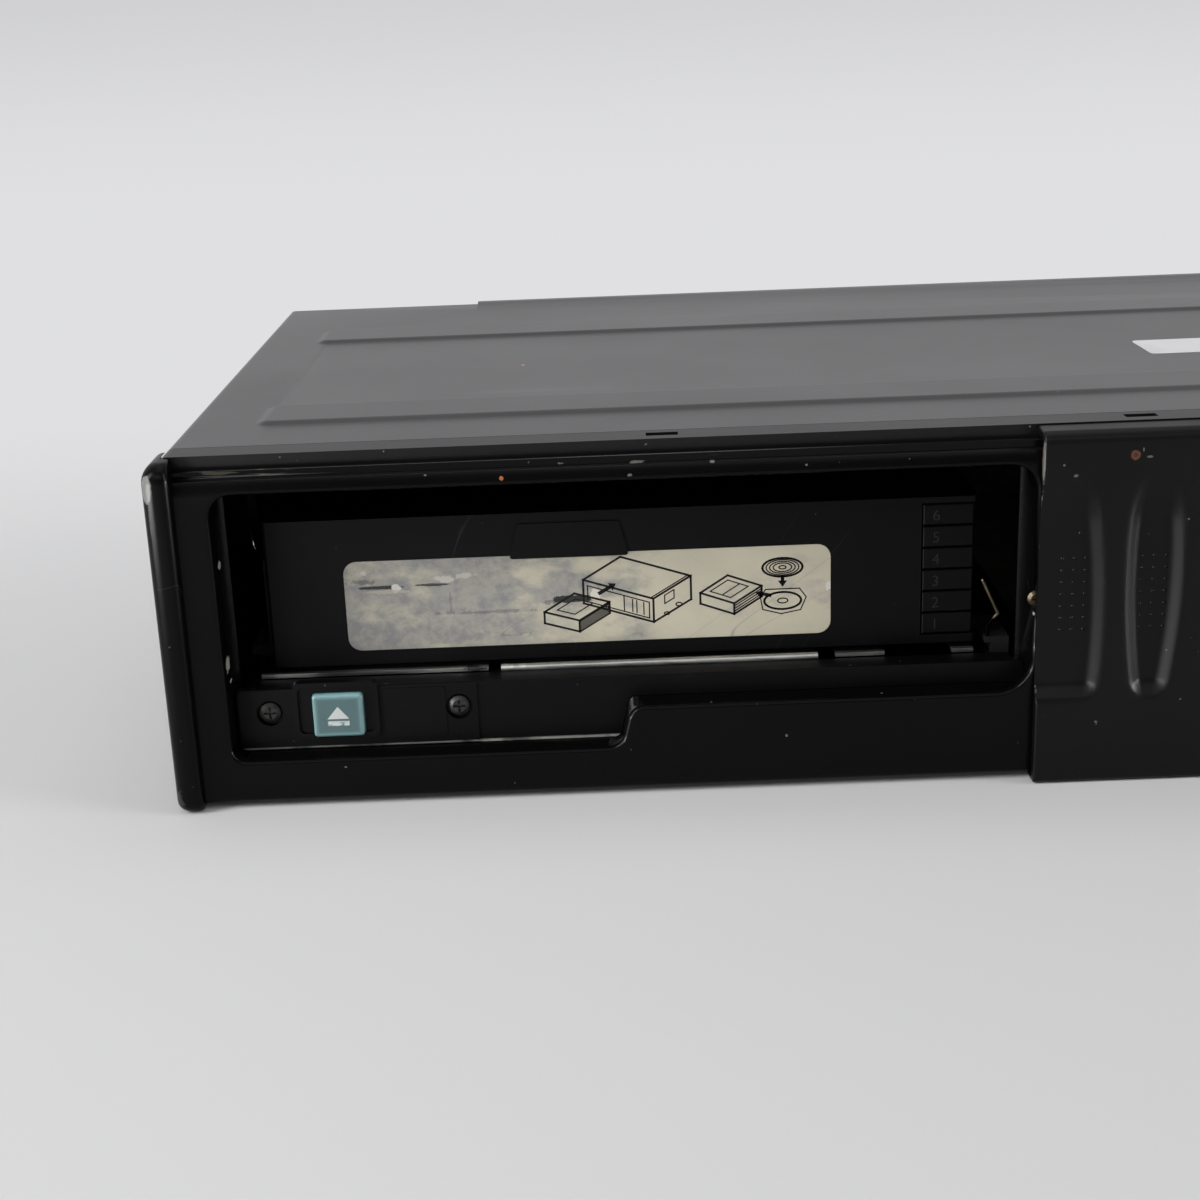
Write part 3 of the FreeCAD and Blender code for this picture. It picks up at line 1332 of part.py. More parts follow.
def main_board():
    low = board_level
    board = panel("xy", (low, low + board_thick), (board_left, board_right), (board_front, board_back), 1)
    top = low + board_thick
    chips = [block(about(x, half), about(y, half), (top, top + chip_height))
             for x, y, half in ((98, chip_near, 8), (122, chip_near, 6), (97, chip_near + chip_gap, 5),
                                (126, chip_near + chip_gap, 5), (66, chip_near + chip_gap + 20, 5))]
    ribbon_plug = block((board_left + 14, board_left + 34), (board_front + 14, board_front + 19),
                        (top, top + 5.5))
    cans = [rod("z", x, capacitor_y, (top, top + capacitor_height), 3.2) for x in capacitor_x]
    return joined([board, ribbon_plug] + chips + cans)


def rear_socket():
    """Multi-pin socket on the main board that comes out through the rear wall."""
    low = socket_level()
    x = (socket_left, socket_left + socket_width)
    start = socket_back - socket_cavity
    body = panel("xz", (socket_back - socket_length, socket_back), x, (low, low + socket_height),
                 socket_round)
    cavity = panel("xz", (start, socket_back + 1), (x[0] + 1.5, x[1] - 1.5),
                   (low + 1.5, low + socket_height - 1.5), 1.5)
    key = block(about(socket_left + socket_width / 2, socket_key / 2), (start, socket_back),
                (low + socket_height - 2.6, low + socket_height - 1))
    pins = [block(about(x[0] + 4 + i * 2.75, 0.35), (start - 1, socket_back - 2.5), (z, z + 0.7))
            for i in range(9) for z in (low + 3.4, low + 7.0)]
    return joined([body.cut(cavity), key] + pins)


def eject_pusher():
    """Sprung plunger that starts the magazine on its way out."""
    x, z = pusher_x, pusher_z
    head = panel("xz", (magazine_back + 0.3, magazine_back + 2.3), about(x, pusher_half),
                 (z - pusher_down, z + pusher_up), pusher_radius)
    stem = rod("y", x, z, (magazine_back + 2, floor_back), pusher_radius)
    return joined([head, stem])


def eject_bracket():
    x, z = pusher_x, pusher_z
    foot = block(about(x, 10), (floor_back - 8, floor_back), (floor_top, floor_top + 1.2))
    upright = panel("xz", (floor_back - 5, floor_back - 3), about(x, 6), (floor_top, z + 5), 1)
    return joined([foot, upright]).cut(
        rod("y", x, z, (floor_back - 9, floor_back + 1), pusher_radius + running_gap))


def eject_spring():
    return ribbed_sleeve("y", pusher_x, pusher_z, (magazine_back + 2.3, floor_back - 5), 3.6, 0.6, 6)


def save(name, shape):
    solid = shape.Solids[0] if len(shape.Solids) == 1 else Part.makeCompound(shape.Solids)
    if not solid.isValid():
        print("not valid:", name)
    solid.exportStep("parts/" + name + ".step")


def main():
    os.makedirs("parts", exist_ok=True)
    pieces = {
        "bottom_chassis": bottom_chassis(), "top_cover": top_cover(), "front_rail": front_rail(),
        "front_fascia": front_fascia(), "left_end_cap": end_cap(), "right_end_cap": mirrored(end_cap()),
        "gap_screw": gap_screw(), "sliding_door": sliding_door(), "button_panel": button_panel(),
        "button_panel_screws": button_panel_screws(), "eject_button": eject_button(),
        "eject_button_spring": eject_button_spring(), "front_board": front_board(),
        "cover_screws": cover_screws(), "mounting_bushes": mounting_bushes(),
        "left_angle_dial": angle_dial(), "right_angle_dial": mirrored(angle_dial()),
        "magazine_floor_plate": magazine_floor_plate(),
        "magazine_guides": magazine_guides(), "latch_block": latch_block(), "latch_wire": latch_wire(),
        "magazine_case": magazine_case(), "magazine_lid": magazine_lid_plate(),
        "magazine_screws": magazine_screws(),
        "mechanism_frame": mechanism_frame(), "front_cam_plate": cam_plate(cam_front),
        "rear_cam_plate": cam_plate(cam_rear), "lift_shaft": lift_shaft(), "lift_worm": lift_worm(),
        "lift_motor": lift_motor(), "dampers": dampers(), "guide_posts": guide_posts(),
        "deck_plate": deck_plate(),
        "spindle_motor": spindle_motor(), "turntable": turntable(), "pickup_sled": pickup_sled(),
        "objective_lens": objective_lens(), "guide_rods": guide_rods(), "lead_screw": lead_screw(),
        "feed_motor": feed_motor(), "clamp_bridge": clamp_bridge(), "clamper": clamper(),
        "main_board": main_board(),
        "rear_socket": rear_socket(), "eject_pusher": eject_pusher(), "eject_bracket": eject_bracket(),
        "eject_spring": eject_spring(),
    }
    for number in range(1, disc_count + 1):
        pieces["tray_" + str(number)] = tray(number)
        pieces["disc_" + str(number)] = disc(number)
    for name, shape in pieces.items():
        save(name, shape)
    print(len(pieces), "nodes")


main()
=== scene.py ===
import math

import bmesh
import bpy
from mathutils import Matrix, Vector


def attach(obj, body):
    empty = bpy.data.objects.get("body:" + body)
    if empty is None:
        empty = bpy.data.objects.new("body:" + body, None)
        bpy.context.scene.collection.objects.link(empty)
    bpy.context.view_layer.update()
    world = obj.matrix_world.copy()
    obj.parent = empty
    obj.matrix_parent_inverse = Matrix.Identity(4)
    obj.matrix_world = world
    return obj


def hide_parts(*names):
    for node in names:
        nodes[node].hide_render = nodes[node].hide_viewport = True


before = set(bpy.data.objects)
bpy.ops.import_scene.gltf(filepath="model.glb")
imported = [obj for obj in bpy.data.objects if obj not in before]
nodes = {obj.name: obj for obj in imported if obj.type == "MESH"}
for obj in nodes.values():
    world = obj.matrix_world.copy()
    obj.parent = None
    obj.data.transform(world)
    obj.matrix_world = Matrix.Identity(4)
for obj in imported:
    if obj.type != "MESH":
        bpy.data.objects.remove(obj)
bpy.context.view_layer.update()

# places are in millimetres: x from the left end cap's edge, y from the fascia's front, z from the ground
origin = {"x": 165.6, "y": 87.2}


def spot(x, y, z):
    return Vector(((x - origin["x"]) / 1000, (y - origin["y"]) / 1000, z / 1000))


def placeOf(point):
    return point.x * 1000 + origin["x"], point.y * 1000 + origin["y"], point.z * 1000


# steps of a shader tree, where a value is a number, a colour or another node's output

def linked(value):
    return isinstance(value, bpy.types.NodeSocket)


def put(value, socket):
    if linked(value):
        socket.id_data.links.new(value, socket)
    else:
        socket.default_value = value


def addNode(kind, inputs=None, tree=None, **settings):
    # a node joins the tree that its inputs come from
    inputs = inputs or {}
    tree = tree or next(value.id_data for value in inputs.values() if linked(value))
    node = tree.nodes.new("ShaderNode" + kind)
    for key, value in settings.items():
        setattr(node, key, value)
    for key, value in inputs.items():
        put(value, node.inputs[key])
    return node


def calc(operation, first, second=0.0):
    return addNode("Math", {0: first, 1: second}, operation=operation).outputs[0]


def times(first, second):
    return calc("MULTIPLY", first, second)


def plus(first, second):
    return calc("ADD", first, second)


def vectorCalc(operation, *values):
    node = addNode("VectorMath", dict(enumerate(values)), operation=operation)
    return node.outputs["Value" if operation == "LENGTH" else "Vector"]


def ease(value, low, high, toLow=0.0, toHigh=1.0):
    node = addNode("MapRange", {
        "Value": value, "From Min": low, "From Max": high, "To Min": toLow, "To Max": toHigh},
        interpolation_type="SMOOTHSTEP")
    return node.outputs["Result"]


def coordinate(vector, axis):
    return addNode("SeparateXYZ", {"Vector": vector}).outputs[axis]


def easeAlong(where, axis, low, high, *reached):
    # eases from one level to another along an axis of the object, in millimetres
    levels = [getattr(spot(level, level, level), axis.lower()) for level in (low, high)]
    return ease(coordinate(where, axis), *levels, *reached)


def blendColour(amount, first, second, mode="MIX"):
    first, second = [value if linked(value) else (*value, 1.0) for value in (first, second)]
    return addNode("Mix", {0: amount, 6: first, 7: second}, data_type="RGBA", blend_type=mode).outputs[2]


def tint(colour, mask, amount, shade):
    return blendColour(times(mask, amount), colour, shade)


def toned(colour, tone):
    return blendColour(1.0, colour, tone, "MULTIPLY")


def cloud(vector, scale, detail=3.0, roughness=0.55):
    return addNode("TexNoise", {
        "Vector": vector, "Scale": scale, "Detail": detail, "Roughness": roughness}).outputs["Fac"]


def stretch(vector, scale, turn=(0, 0, 0)):
    return addNode("Mapping", {
        "Vector": vector, "Scale": scale, "Rotation": turn}).outputs["Vector"]


# shared surface effects, one node group each

def newGroup(name, inputs, output):
    group = bpy.data.node_groups.new(name, "ShaderNodeTree")
    for socketName, value in inputs.items():
        kind = "NodeSocketFloat" if isinstance(value, float) else "NodeSocketVector"
        socket = group.interface.new_socket(socketName, in_out="INPUT", socket_type=kind)
        if value is not None:
            socket.default_value = value
    group.interface.new_socket(output, in_out="OUTPUT", socket_type="NodeSocketFloat")
    given = group.nodes.new("NodeGroupInput").outputs
    return group, given, group.nodes.new("NodeGroupOutput").inputs[output]


speckle = {"bendScale": 900.0, "bendDetail": 1.0, "bend": (0.0007, 0.0007, 0.0007), "leastSize": 0.3}


def makeDustGroup():
    # scattered specks: most cells of a Voronoi pattern stay empty
    group, given, result = newGroup("looseDust", {
        "Vector": None, "Scale": 300.0, "Share": 0.1, "Size": 0.12}, "Mask")
    bent = addNode("TexNoise", {
        "Vector": given["Vector"], "Scale": speckle["bendScale"], "Detail": speckle["bendDetail"]})
    shifted = vectorCalc("MULTIPLY_ADD", bent.outputs["Color"], speckle["bend"], given["Vector"])
    cells = addNode("TexVoronoi", {"Vector": shifted, "Scale": given["Scale"]})
    parts = addNode("SeparateColor", {"Color": cells.outputs["Color"]}).outputs
    kept = calc("LESS_THAN", parts["Red"], given["Share"])
    size = times(given["Size"], plus(parts["Green"], speckle["leastSize"]))
    inside = calc("LESS_THAN", cells.outputs["Distance"], size)
    put(times(inside, times(kept, parts["Blue"])), result)
    return group


hairline = {"waveDetail": 1.0, "middle": 0.5, "breakScale": 90.0, "breakDetail": 2.0, "breakSoft": 0.1}


def makeScratchGroup():
    # hairlines: thin contour lines of a stretched noise, broken up by a second one
    group, given, result = newGroup("fineScratches", {
        "Vector": None, "Scale": 60.0, "Stretch": (1.0, 1.0, 1.0), "Turn": (0.0, 0.0, 0.0), "Width": 0.01,
        "Share": 0.5}, "Mask")
    turned = addNode("Mapping", {"Vector": given["Vector"], "Rotation": given["Turn"]}).outputs[0]
    drawn = addNode("Mapping", {"Vector": turned, "Scale": given["Stretch"]}).outputs[0]
    waves = addNode("TexNoise", {
        "Vector": drawn, "Scale": given["Scale"], "Detail": hairline["waveDetail"]}).outputs["Fac"]
    away = calc("ABSOLUTE", calc("SUBTRACT", waves, hairline["middle"]))
    thin = ease(away, given["Width"], 0.0)
    breaks = cloud(drawn, hairline["breakScale"], hairline["breakDetail"])
    low = calc("SUBTRACT", 1.0, given["Share"])
    kept = ease(breaks, low, plus(low, hairline["breakSoft"]))
    put(times(thin, kept), result)
    return group


raggedRim = {"detail": 4.0, "roughness": 0.65, "middle": 0.5, "swing": 4.0, "outer": 1.05, "inner": 0.8}


def makeSpotGroup():
    # one ragged spot about a place on the object, used for chips, rust and rubbed corners
    group, given, result = newGroup("wornSpot", {
        "Vector": None, "Centre": (0.0, 0.0, 0.0), "Reach": (1.0, 1.0, 1.0), "Ragged": 0.5,
        "Grain": 900.0}, "Mask")
    away = vectorCalc("SUBTRACT", given["Vector"], given["Centre"])
    length = vectorCalc("LENGTH", vectorCalc("DIVIDE", away, given["Reach"]))
    grain = cloud(given["Vector"], given["Grain"], raggedRim["detail"], raggedRim["roughness"])
    rough = times(calc("SUBTRACT", grain, raggedRim["middle"]), given["Ragged"])
    total = plus(length, times(rough, raggedRim["swing"]))
    put(ease(total, raggedRim["outer"], raggedRim["inner"]), result)
    return group


slowTone = {"detail": 5.0, "roughness": 0.6, "from": 0.3, "to": 0.7}


def makeMottleGroup():
    # slow change of tone, from handling and age
    group, given, result = newGroup("handledTone", {
        "Vector": None, "Scale": 20.0, "Low": 0.8, "High": 1.2}, "Value")
    wide = cloud(given["Vector"], given["Scale"], slowTone["detail"], slowTone["roughness"])
    node = addNode("MapRange", {
        "Value": wide, "From Min": slowTone["from"], "From Max": slowTone["to"], "To Min": given["Low"],
        "To Max": given["High"]})
    put(node.outputs[0], result)
    return group


dustGroup = makeDustGroup()
scratchGroup = makeScratchGroup()
spotGroup = makeSpotGroup()
mottleGroup = makeMottleGroup()
print("surface effects ready")


def effect(group, *values):
    return addNode("Group", dict(enumerate(values)), node_tree=group).outputs[0]


def mottle(where, scale, low, high):
    return effect(mottleGroup, where, scale, low, high)


def wornSpot(where, centre, reach, ragged=0.5, grain=900.0):
    return effect(spotGroup, where, spot(*centre), [r / 1000 for r in reach], ragged, grain)


def addWear(where, colour, wear):
    # each kind of wear has its strength and shade, and its spots with their middle and reach in millimetres
    for kind in wear:
        for centre, reach in kind["spots"]:
            mask = wornSpot(where, centre, reach, kind.get("ragged", 0.5), kind.get("grain", 900.0))
            colour = tint(colour, mask, *kind["tint"])
    return colour


def worn(*wear):
    return lambda where, colour: addWear(where, colour, wear)


# materials; tuples give an effect's values in their order, and a tint is its strength and its shade

def startMaterial(name, look):
    material = bpy.data.materials.new(name)
    material.use_nodes = True
    tree = material.node_tree
    shader = tree.nodes["Principled BSDF"].inputs
    shader["Base Color"].default_value = (*look["colour"], 1.0)
    shader["Roughness"].default_value = look["roughness"]
    shader["Metallic"].default_value = look.get("metal", 0.0)
    shader["Specular IOR Level"].default_value = look.get("shine", 0.5)
    shader["Coat Weight"].default_value = look.get("coat", 0.0)
    shader["Coat Roughness"].default_value = look.get("coatRoughness", 0.1)
    for part in look.get("parts", []):
        nodes[part].data.materials.clear()
        nodes[part].data.materials.append(material)
        bare.remove(part)
    return material, shader, addNode("TexCoord", tree=tree).outputs["Object"]


def cover(shader, colour, roughness):
    put(colour, shader["Base Color"])
    put(roughness, shader["Roughness"])


def slowGloss(where, look):
    scale, low, high = look["gloss"]
    return mottle(where, scale, look["roughness"] * low, look["roughness"] * high)


def addBump(shader, height, depth):
    bump = addNode("Bump", {"Strength": 1.0, "Distance": depth / 1000, "Height": height})
    put(bump.outputs["Normal"], shader["Normal"])


bare = list(nodes)
numbered = range(1, 7)


def grainedPlastic(name, look, extra=None):
    # moulded black plastic: fine grain, dust, faint scratches and slow changes of gloss
    look = {**blackPlastic, **look}
    material, shader, where = startMaterial(name, look)
    colour = toned(look["colour"], mottle(where, *look["tone"]))
    specks, marks = effect(dustGroup, where, *look["dust"]), effect(scratchGroup, where, *look["scratch"])
    colour = tint(tint(colour, marks, *look["scratchTint"]), specks, *look["dustTint"])
    if extra:
        colour = extra(where, colour)
    dull = times(calc("MAXIMUM", specks, marks), look["markRoughness"])
    cover(shader, colour, plus(slowGloss(where, look), dull))
    addBump(shader, cloud(where, *look["grain"]), look["grainDepth"])
    return material


blackPlastic = {
    "colour": (0.002, 0.002, 0.0023), "roughness": 0.3, "shine": 0.1, "tone": (18.0, 0.75, 1.3),
    "gloss": (30.0, 0.85, 1.2), "markRoughness": 0.3, "grain": (3200.0, 2.0), "grainDepth": 0.006,
    "dust": (700.0, 0.05, 0.13), "dustTint": (0.45, (0.3, 0.29, 0.27)),
    "scratch": (160.0, (0.1, 1.0, 1.0), (0.0, 0.25, 0.0), 0.006, 0.42),
    "scratchTint": (0.3, (0.06, 0.06, 0.06))}

fasciaChips = {"tint": (0.8, (0.4, 0.39, 0.36)), "spots": [
    ((11.5, 5.8, 47.8), (1.0, 1.4, 0.9)), ((11.5, 4.2, 28.4), (1.0, 1.9, 1.7)),
    ((11.5, 5.6, 24.6), (1.0, 1.0, 0.4)), ((164.8, 0.6, 33.6), (0.5, 0.6, 0.4))]}
fasciaFlecks = {"tint": (0.6, (0.2, 0.19, 0.17)), "ragged": 0.4, "spots": [
    ((77.0, 0.8, 66.0), (1.0, 1.2, 0.25)), ((91.0, 0.8, 65.8), (1.6, 1.2, 0.22)),
    ((89.5, 0.0, 63.6), (0.5, 1.2, 0.25)), ((104.7, 0.8, 65.4), (0.5, 1.2, 0.3)),
    ((52.0, 0.2, 65.0), (0.3, 1.2, 0.2)), ((122.0, 0.2, 64.2), (0.3, 1.2, 0.2)),
    ((33.0, 0.0, 8.0), (0.3, 1.0, 0.2)), ((118.0, 0.0, 11.0), (0.3, 1.0, 0.3))]}
fasciaRust = {"tint": (0.9, (0.42, 0.15, 0.05)), "ragged": 0.2, "spots": [
    ((65.9, 0.2, 63.9), (0.42, 1.0, 0.42))]}
fasciaStreaks = {
    "tint": (0.4, (0.11, 0.098, 0.075)), "patch": (0.3, 300.0), "run": ((0.07, 1.0, 1.0), (0.0, 0.04, 0.0)),
    "lines": (1300.0, 2.0), "kept": (0.58, 0.66), "spots": [
        ((17.5, 3.0, 67.0), (8.0, 3.0, 1.2)), ((24.0, 3.0, 66.6), (5.0, 3.0, 1.0)),
        ((104.0, 3.0, 67.0), (4.0, 3.0, 0.8))]}


def markFascia(where, colour):
    # chips, flecks and rust, then three patches of short rubbed lines
    colour = addWear(where, colour, [fasciaChips, fasciaFlecks, fasciaRust])
    for centre, reach in fasciaStreaks["spots"]:
        waves = cloud(stretch(where, *fasciaStreaks["run"]), *fasciaStreaks["lines"])
        patch = wornSpot(where, centre, reach, *fasciaStreaks["patch"])
        lines = times(patch, ease(waves, *fasciaStreaks["kept"]))
        colour = tint(colour, lines, *fasciaStreaks["tint"])
    return colour


fasciaPlastic = grainedPlastic("fasciaPlastic", {"roughness": 0.23, "parts": ["front_fascia"]}, markFascia)

# the pale corner at the top of a cap, partly rubbed and partly a painted highlight on its rounded corner, and
# a fainter painted trace of both along the front edge
capCornerRubAndHighlight = {"tint": (0.7, (0.3, 0.295, 0.28)), "ragged": 0.15, "spots": [
    ((0.8, -2.1, 65.2), (1.5, 1.3, 3.3))]}
capEdgeRubAndHighlight = {"tint": (0.3, (0.1, 0.1, 0.1)), "ragged": 0.6, "spots": [
    ((1.2, -2.2, 58.0), (0.12, 1.2, 2.5)), ((0.8, -2.0, 3.0), (1.2, 1.2, 2.2))]}
capPlastic = grainedPlastic("capPlastic", {
    "roughness": 0.24, "dust": (700.0, 0.03, 0.13), "parts": ["left_end_cap", "right_end_cap"]},
    worn(capCornerRubAndHighlight, capEdgeRubAndHighlight))

# a pale edge along the door's left end, partly bare plastic and partly a painted highlight on its rounded
# edge; one ring of rust and a few pale flecks
doorEdgeRubAndHighlight = {"tint": (0.75, (0.24, 0.22, 0.19)), "ragged": 0.35, "spots": [
    ((165.0, -2.6, 63.5), (0.22, 1.2, 3.6)), ((165.0, -2.6, 50.0), (0.14, 1.2, 9.0))]}
doorChips = {"tint": (0.85, (0.5, 0.49, 0.46)), "spots": [
    ((165.1, -2.7, 33.4), (0.22, 1.2, 0.6)), ((165.1, -2.7, 45.0), (0.18, 1.2, 0.5))]}
doorRust = {"tint": (0.9, (0.13, 0.055, 0.03)), "ragged": 0.2, "grain": 1400.0, "spots": [
    ((181.6, -2.9, 64.5), (0.95, 1.5, 0.95))]}
doorRustHeart = {"tint": (0.8, (0.05, 0.025, 0.018)), "ragged": 0.3, "grain": 1400.0, "spots": [
    ((181.6, -2.9, 64.5), (0.45, 1.5, 0.45))]}
doorFlecks = {"tint": (0.55, (0.22, 0.21, 0.19)), "spots": [
    ((184.2, -2.9, 64.1), (0.6, 1.2, 0.22)), ((183.0, -2.9, 65.4), (0.15, 1.2, 0.4)),
    ((168.6, -2.9, 63.1), (0.25, 1.2, 0.25)), ((170.9, -2.9, 61.0), (0.5, 1.2, 0.28)),
    ((176.6, -2.9, 12.6), (0.3, 1.2, 0.2)), ((192.0, -2.9, 52.0), (0.25, 1.2, 0.2))]}
doorPlastic = grainedPlastic("doorPlastic", {
    "colour": (0.0025, 0.0025, 0.0028), "roughness": 0.35, "shine": 0.17, "dust": (700.0, 0.08, 0.13),
    "grainDepth": 0.009, "parts": ["sliding_door"]},
    worn(doorEdgeRubAndHighlight, doorChips, doorRust, doorRustHeart, doorFlecks))

panelEdgeHighlight = {"levels": (10.5, 10.2), "breaks": (0.36, 0.5, 0.3), "scale": 130.0, "shade": (0.3, 0.31, 0.28)}


def markPanel(where, colour):
    # painted highlight: the panel's lower edge is painted pale along its whole length, where the edge catches
    # light, and it is partly rubbed
    low = easeAlong(where, "Z", *panelEdgeHighlight["levels"])
    return tint(colour, low, ease(cloud(where, panelEdgeHighlight["scale"]), *panelEdgeHighlight["breaks"]), panelEdgeHighlight["shade"])


grainedPlastic("panelPlastic", {
    "roughness": 0.4, "grain": (4200.0, 2.0), "grainDepth": 0.01, "dust": (700.0, 0.09, 0.13), "shine": 0.11,
    "parts": ["button_panel"]}, markPanel)
grainedPlastic("magazinePlastic", {
    "colour": (0.003, 0.003, 0.0034), "roughness": 0.42, "dust": (700.0, 0.04, 0.13),
    "scratch": (160.0, (0.1, 1.0, 1.0), (0, 1.1, 0), 0.006, 0.36),
    "parts": ["magazine_case", "magazine_lid"] + ["tray_%d" % n for n in numbered]})
# painted light: the guides and the latch block are a lighter black than the other plastics, standing for the
# soft light inside the bay
grainedPlastic("runnerPlastic", {
    "colour": (0.013, 0.013, 0.014), "roughness": 0.55, "shine": 0.2,
    "parts": ["magazine_guides", "latch_block"]})


def paintedSteel(name, look, extra=None):
    # thick stoving paint with an orange-peel texture, finger marks and fine scratches
    look = {**stovePaint, **look}
    material, shader, where = startMaterial(name, look)
    peel = addNode("TexVoronoi", {"Vector": where, "Scale": look["peelScale"]}, feature="SMOOTH_F1")
    fine = times(cloud(where, look["peelScale"] * look["fineScale"]), look["fineShare"])
    addBump(shader, plus(peel.outputs["Distance"], fine), look["peelDepth"])
    colour = toned(look["colour"], mottle(where, *look["tone"]))
    colour = tint(colour, effect(dustGroup, where, *look["dust"]), *look["dustTint"])
    colour = tint(colour, effect(scratchGroup, where, *look["scratch"]), *look["scratchTint"])
    if extra:
        colour = extra(where, colour)
    cover(shader, colour, slowGloss(where, look))
    return material


stovePaint = {
    "peelScale": 1500.0, "peelDepth": 0.012, "fineScale": 1.7, "fineShare": 0.7, "tone": (9.0, 0.85, 1.15),
    "gloss": (14.0, 0.93, 1.08), "dust": (620.0, 0.05, 0.12), "dustTint": (0.5, (0.4, 0.39, 0.37)),
    "scratch": (90.0, (0.12, 1.0, 1.0), (0, 0, 0.7), 0.005, 0.4), "scratchTint": (0.3, (0.15, 0.15, 0.15))}

# one orange fleck and a faint trail of dust on the cover
coverFleck = {"tint": (0.85, (0.5, 0.2, 0.08)), "ragged": 0.2, "spots": [
    ((68.0, 81.8, 69.4), (0.45, 0.9, 1.0))]}
coverTrail = {"tint": (0.35, (0.07, 0.07, 0.07)), "ragged": 0.6, "grain": 500.0, "spots": [
    ((73.0, 53.0, 69.4), (15.0, 1.6, 1.0))]}
coverPaint = paintedSteel("coverPaint", {
    "colour": (0.03, 0.03, 0.031), "roughness": 0.31, "shine": 0.5, "parts": ["top_cover"]},
    worn(coverFleck, coverTrail))
paintedSteel("railPaint", {
    "colour": (0.006, 0.006, 0.0065), "roughness": 0.33, "shine": 0.24, "peelDepth": 0.01,
    "dust": (620.0, 0.12, 0.12), "parts": ["front_rail"]})
paintedSteel("chassisPaint", {
    "colour": (0.012, 0.012, 0.013), "roughness": 0.5, "shine": 0.35, "peelScale": 1200.0, "peelDepth": 0.02,
    "dust": (620.0, 0.04, 0.12), "parts": ["bottom_chassis"]})


def brushedMetal(name, look, extra=None):
    # fine drawn lines in the tone, the gloss and the bump, with stains over them
    look = {**bareMetal, **look}
    material, shader, where = startMaterial(name, look)
    lines = cloud(stretch(where, look["brush"]), *look["lines"])
    colour = toned(look["colour"], ease(lines, *look["lineTone"]))
    colour = tint(colour, mottle(where, look["stainScale"], 0.0, 1.0), look["stain"], look["stainColour"])
    if extra:
        colour = extra(where, colour)
    low, high, smooth, dull = look["lineGloss"]
    cover(shader, colour, ease(lines, low, high, look["roughness"] * smooth, look["roughness"] * dull))
    addBump(shader, lines, look["lineDepth"])


bareMetal = {
    "metal": 1.0, "lines": (60.0, 4.0, 0.7), "lineTone": (0.3, 0.7, 0.82, 1.08), "lineDepth": 0.004,
    "lineGloss": (0.25, 0.75, 0.8, 1.3), "stainScale": 60.0, "stainColour": (0.2, 0.19, 0.17)}
floorPaintedShade = {"Y": (12.2, 12.9), "Z": (23.9, 24.6), "tint": (0.96, (0.008, 0.008, 0.008))}
floorSmears = {"tint": (0.8, (0.03, 0.03, 0.03)), "spots": [
    ((58.0, 11.6, 23.0), (2.2, 1.5, 0.5)), ((126.9, 11.6, 23.0), (1.0, 1.5, 1.5))]}
# painted glints: pale spots on the rolled lip that stand for light catching it
floorGlints = {"tint": (0.9, (0.75, 0.74, 0.7)), "ragged": 0.6, "grain": 1600.0, "spots": [
    ((64.4, 11.2, 23.2), (1.6, 1.6, 0.6)), ((67.5, 11.2, 23.4), (0.8, 1.6, 0.4))]}


def markFloor(where, colour):
    # painted shade: the steel behind the rolled front edge and above the floor is painted near black, as it
    # lies in shade under the magazine; then smears and painted glints on the lip
    behind, above = [easeAlong(where, axis, *floorPaintedShade[axis]) for axis in "YZ"]
    colour = tint(colour, calc("MAXIMUM", behind, above), *floorPaintedShade["tint"])
    return addWear(where, colour, [floorSmears, floorGlints])


wireEndShade = {"levels": (28.9, 28.3), "shade": (0.002, 0.002, 0.002)}


def markWire(where, colour):
    # painted shade: the wire's lower end is painted near black, where it runs down into shade
    return blendColour(easeAlong(where, "Z", *wireEndShade["levels"]), colour, wireEndShade["shade"])


metals = {
    "floorSteel": {"colour": (0.6, 0.6, 0.58), "roughness": 0.34, "brush": (1.0, 12.0, 12.0), "stain": 0.25,
                   "parts": ["magazine_floor_plate"]},
    "zincSteel": {"colour": (0.6, 0.6, 0.58), "roughness": 0.36, "brush": (3.0, 3.0, 12.0), "stain": 0.25,
                  "stainColour": (0.45, 0.43, 0.36),
                  "parts": ["mechanism_frame", "front_cam_plate", "rear_cam_plate", "deck_plate",
                            "clamp_bridge", "eject_bracket"]},
    "turnedSteel": {"colour": (0.66, 0.66, 0.66), "roughness": 0.22, "brush": (8.0, 8.0, 8.0), "stain": 0.08,
                    "parts": ["guide_posts", "guide_rods", "lead_screw", "eject_button_spring",
                              "eject_spring"]},
    "blackenedScrew": {"colour": (0.014, 0.014, 0.014), "roughness": 0.46, "metal": 0.4,
                       "brush": (6.0, 6.0, 6.0), "stain": 0.35, "stainColour": (0.05, 0.042, 0.034),
                       "stainScale": 700.0,
                       "parts": ["button_panel_screws", "cover_screws", "magazine_screws"]},
    "turnedBrass": {"colour": (0.62, 0.45, 0.2), "roughness": 0.3, "brush": (6.0, 6.0, 6.0), "stain": 0.3,
                    "stainColour": (0.2, 0.14, 0.07), "parts": ["mounting_bushes"]},
    "agedBrass": {"colour": (0.15, 0.122, 0.082), "roughness": 0.42, "brush": (6.0, 6.0, 6.0), "stain": 0.6,
                  "stainColour": (0.04, 0.03, 0.02), "stainScale": 900.0, "parts": ["gap_screw"]},
    "springWire": {"colour": (0.16, 0.13, 0.09), "roughness": 0.36, "brush": (8.0, 8.0, 2.0), "stain": 0.5,
                   "stainColour": (0.04, 0.035, 0.03), "stainScale": 260.0, "parts": ["latch_wire"]},
    "motorCan": {"colour": (0.55, 0.55, 0.56), "roughness": 0.3, "brush": (9.0, 9.0, 9.0), "stain": 0.12,
                 "parts": ["spindle_motor", "feed_motor", "lift_motor"]}}
for name, look in metals.items():
    brushedMetal(name, look, {"floorSteel": markFloor, "springWire": markWire}.get(name))

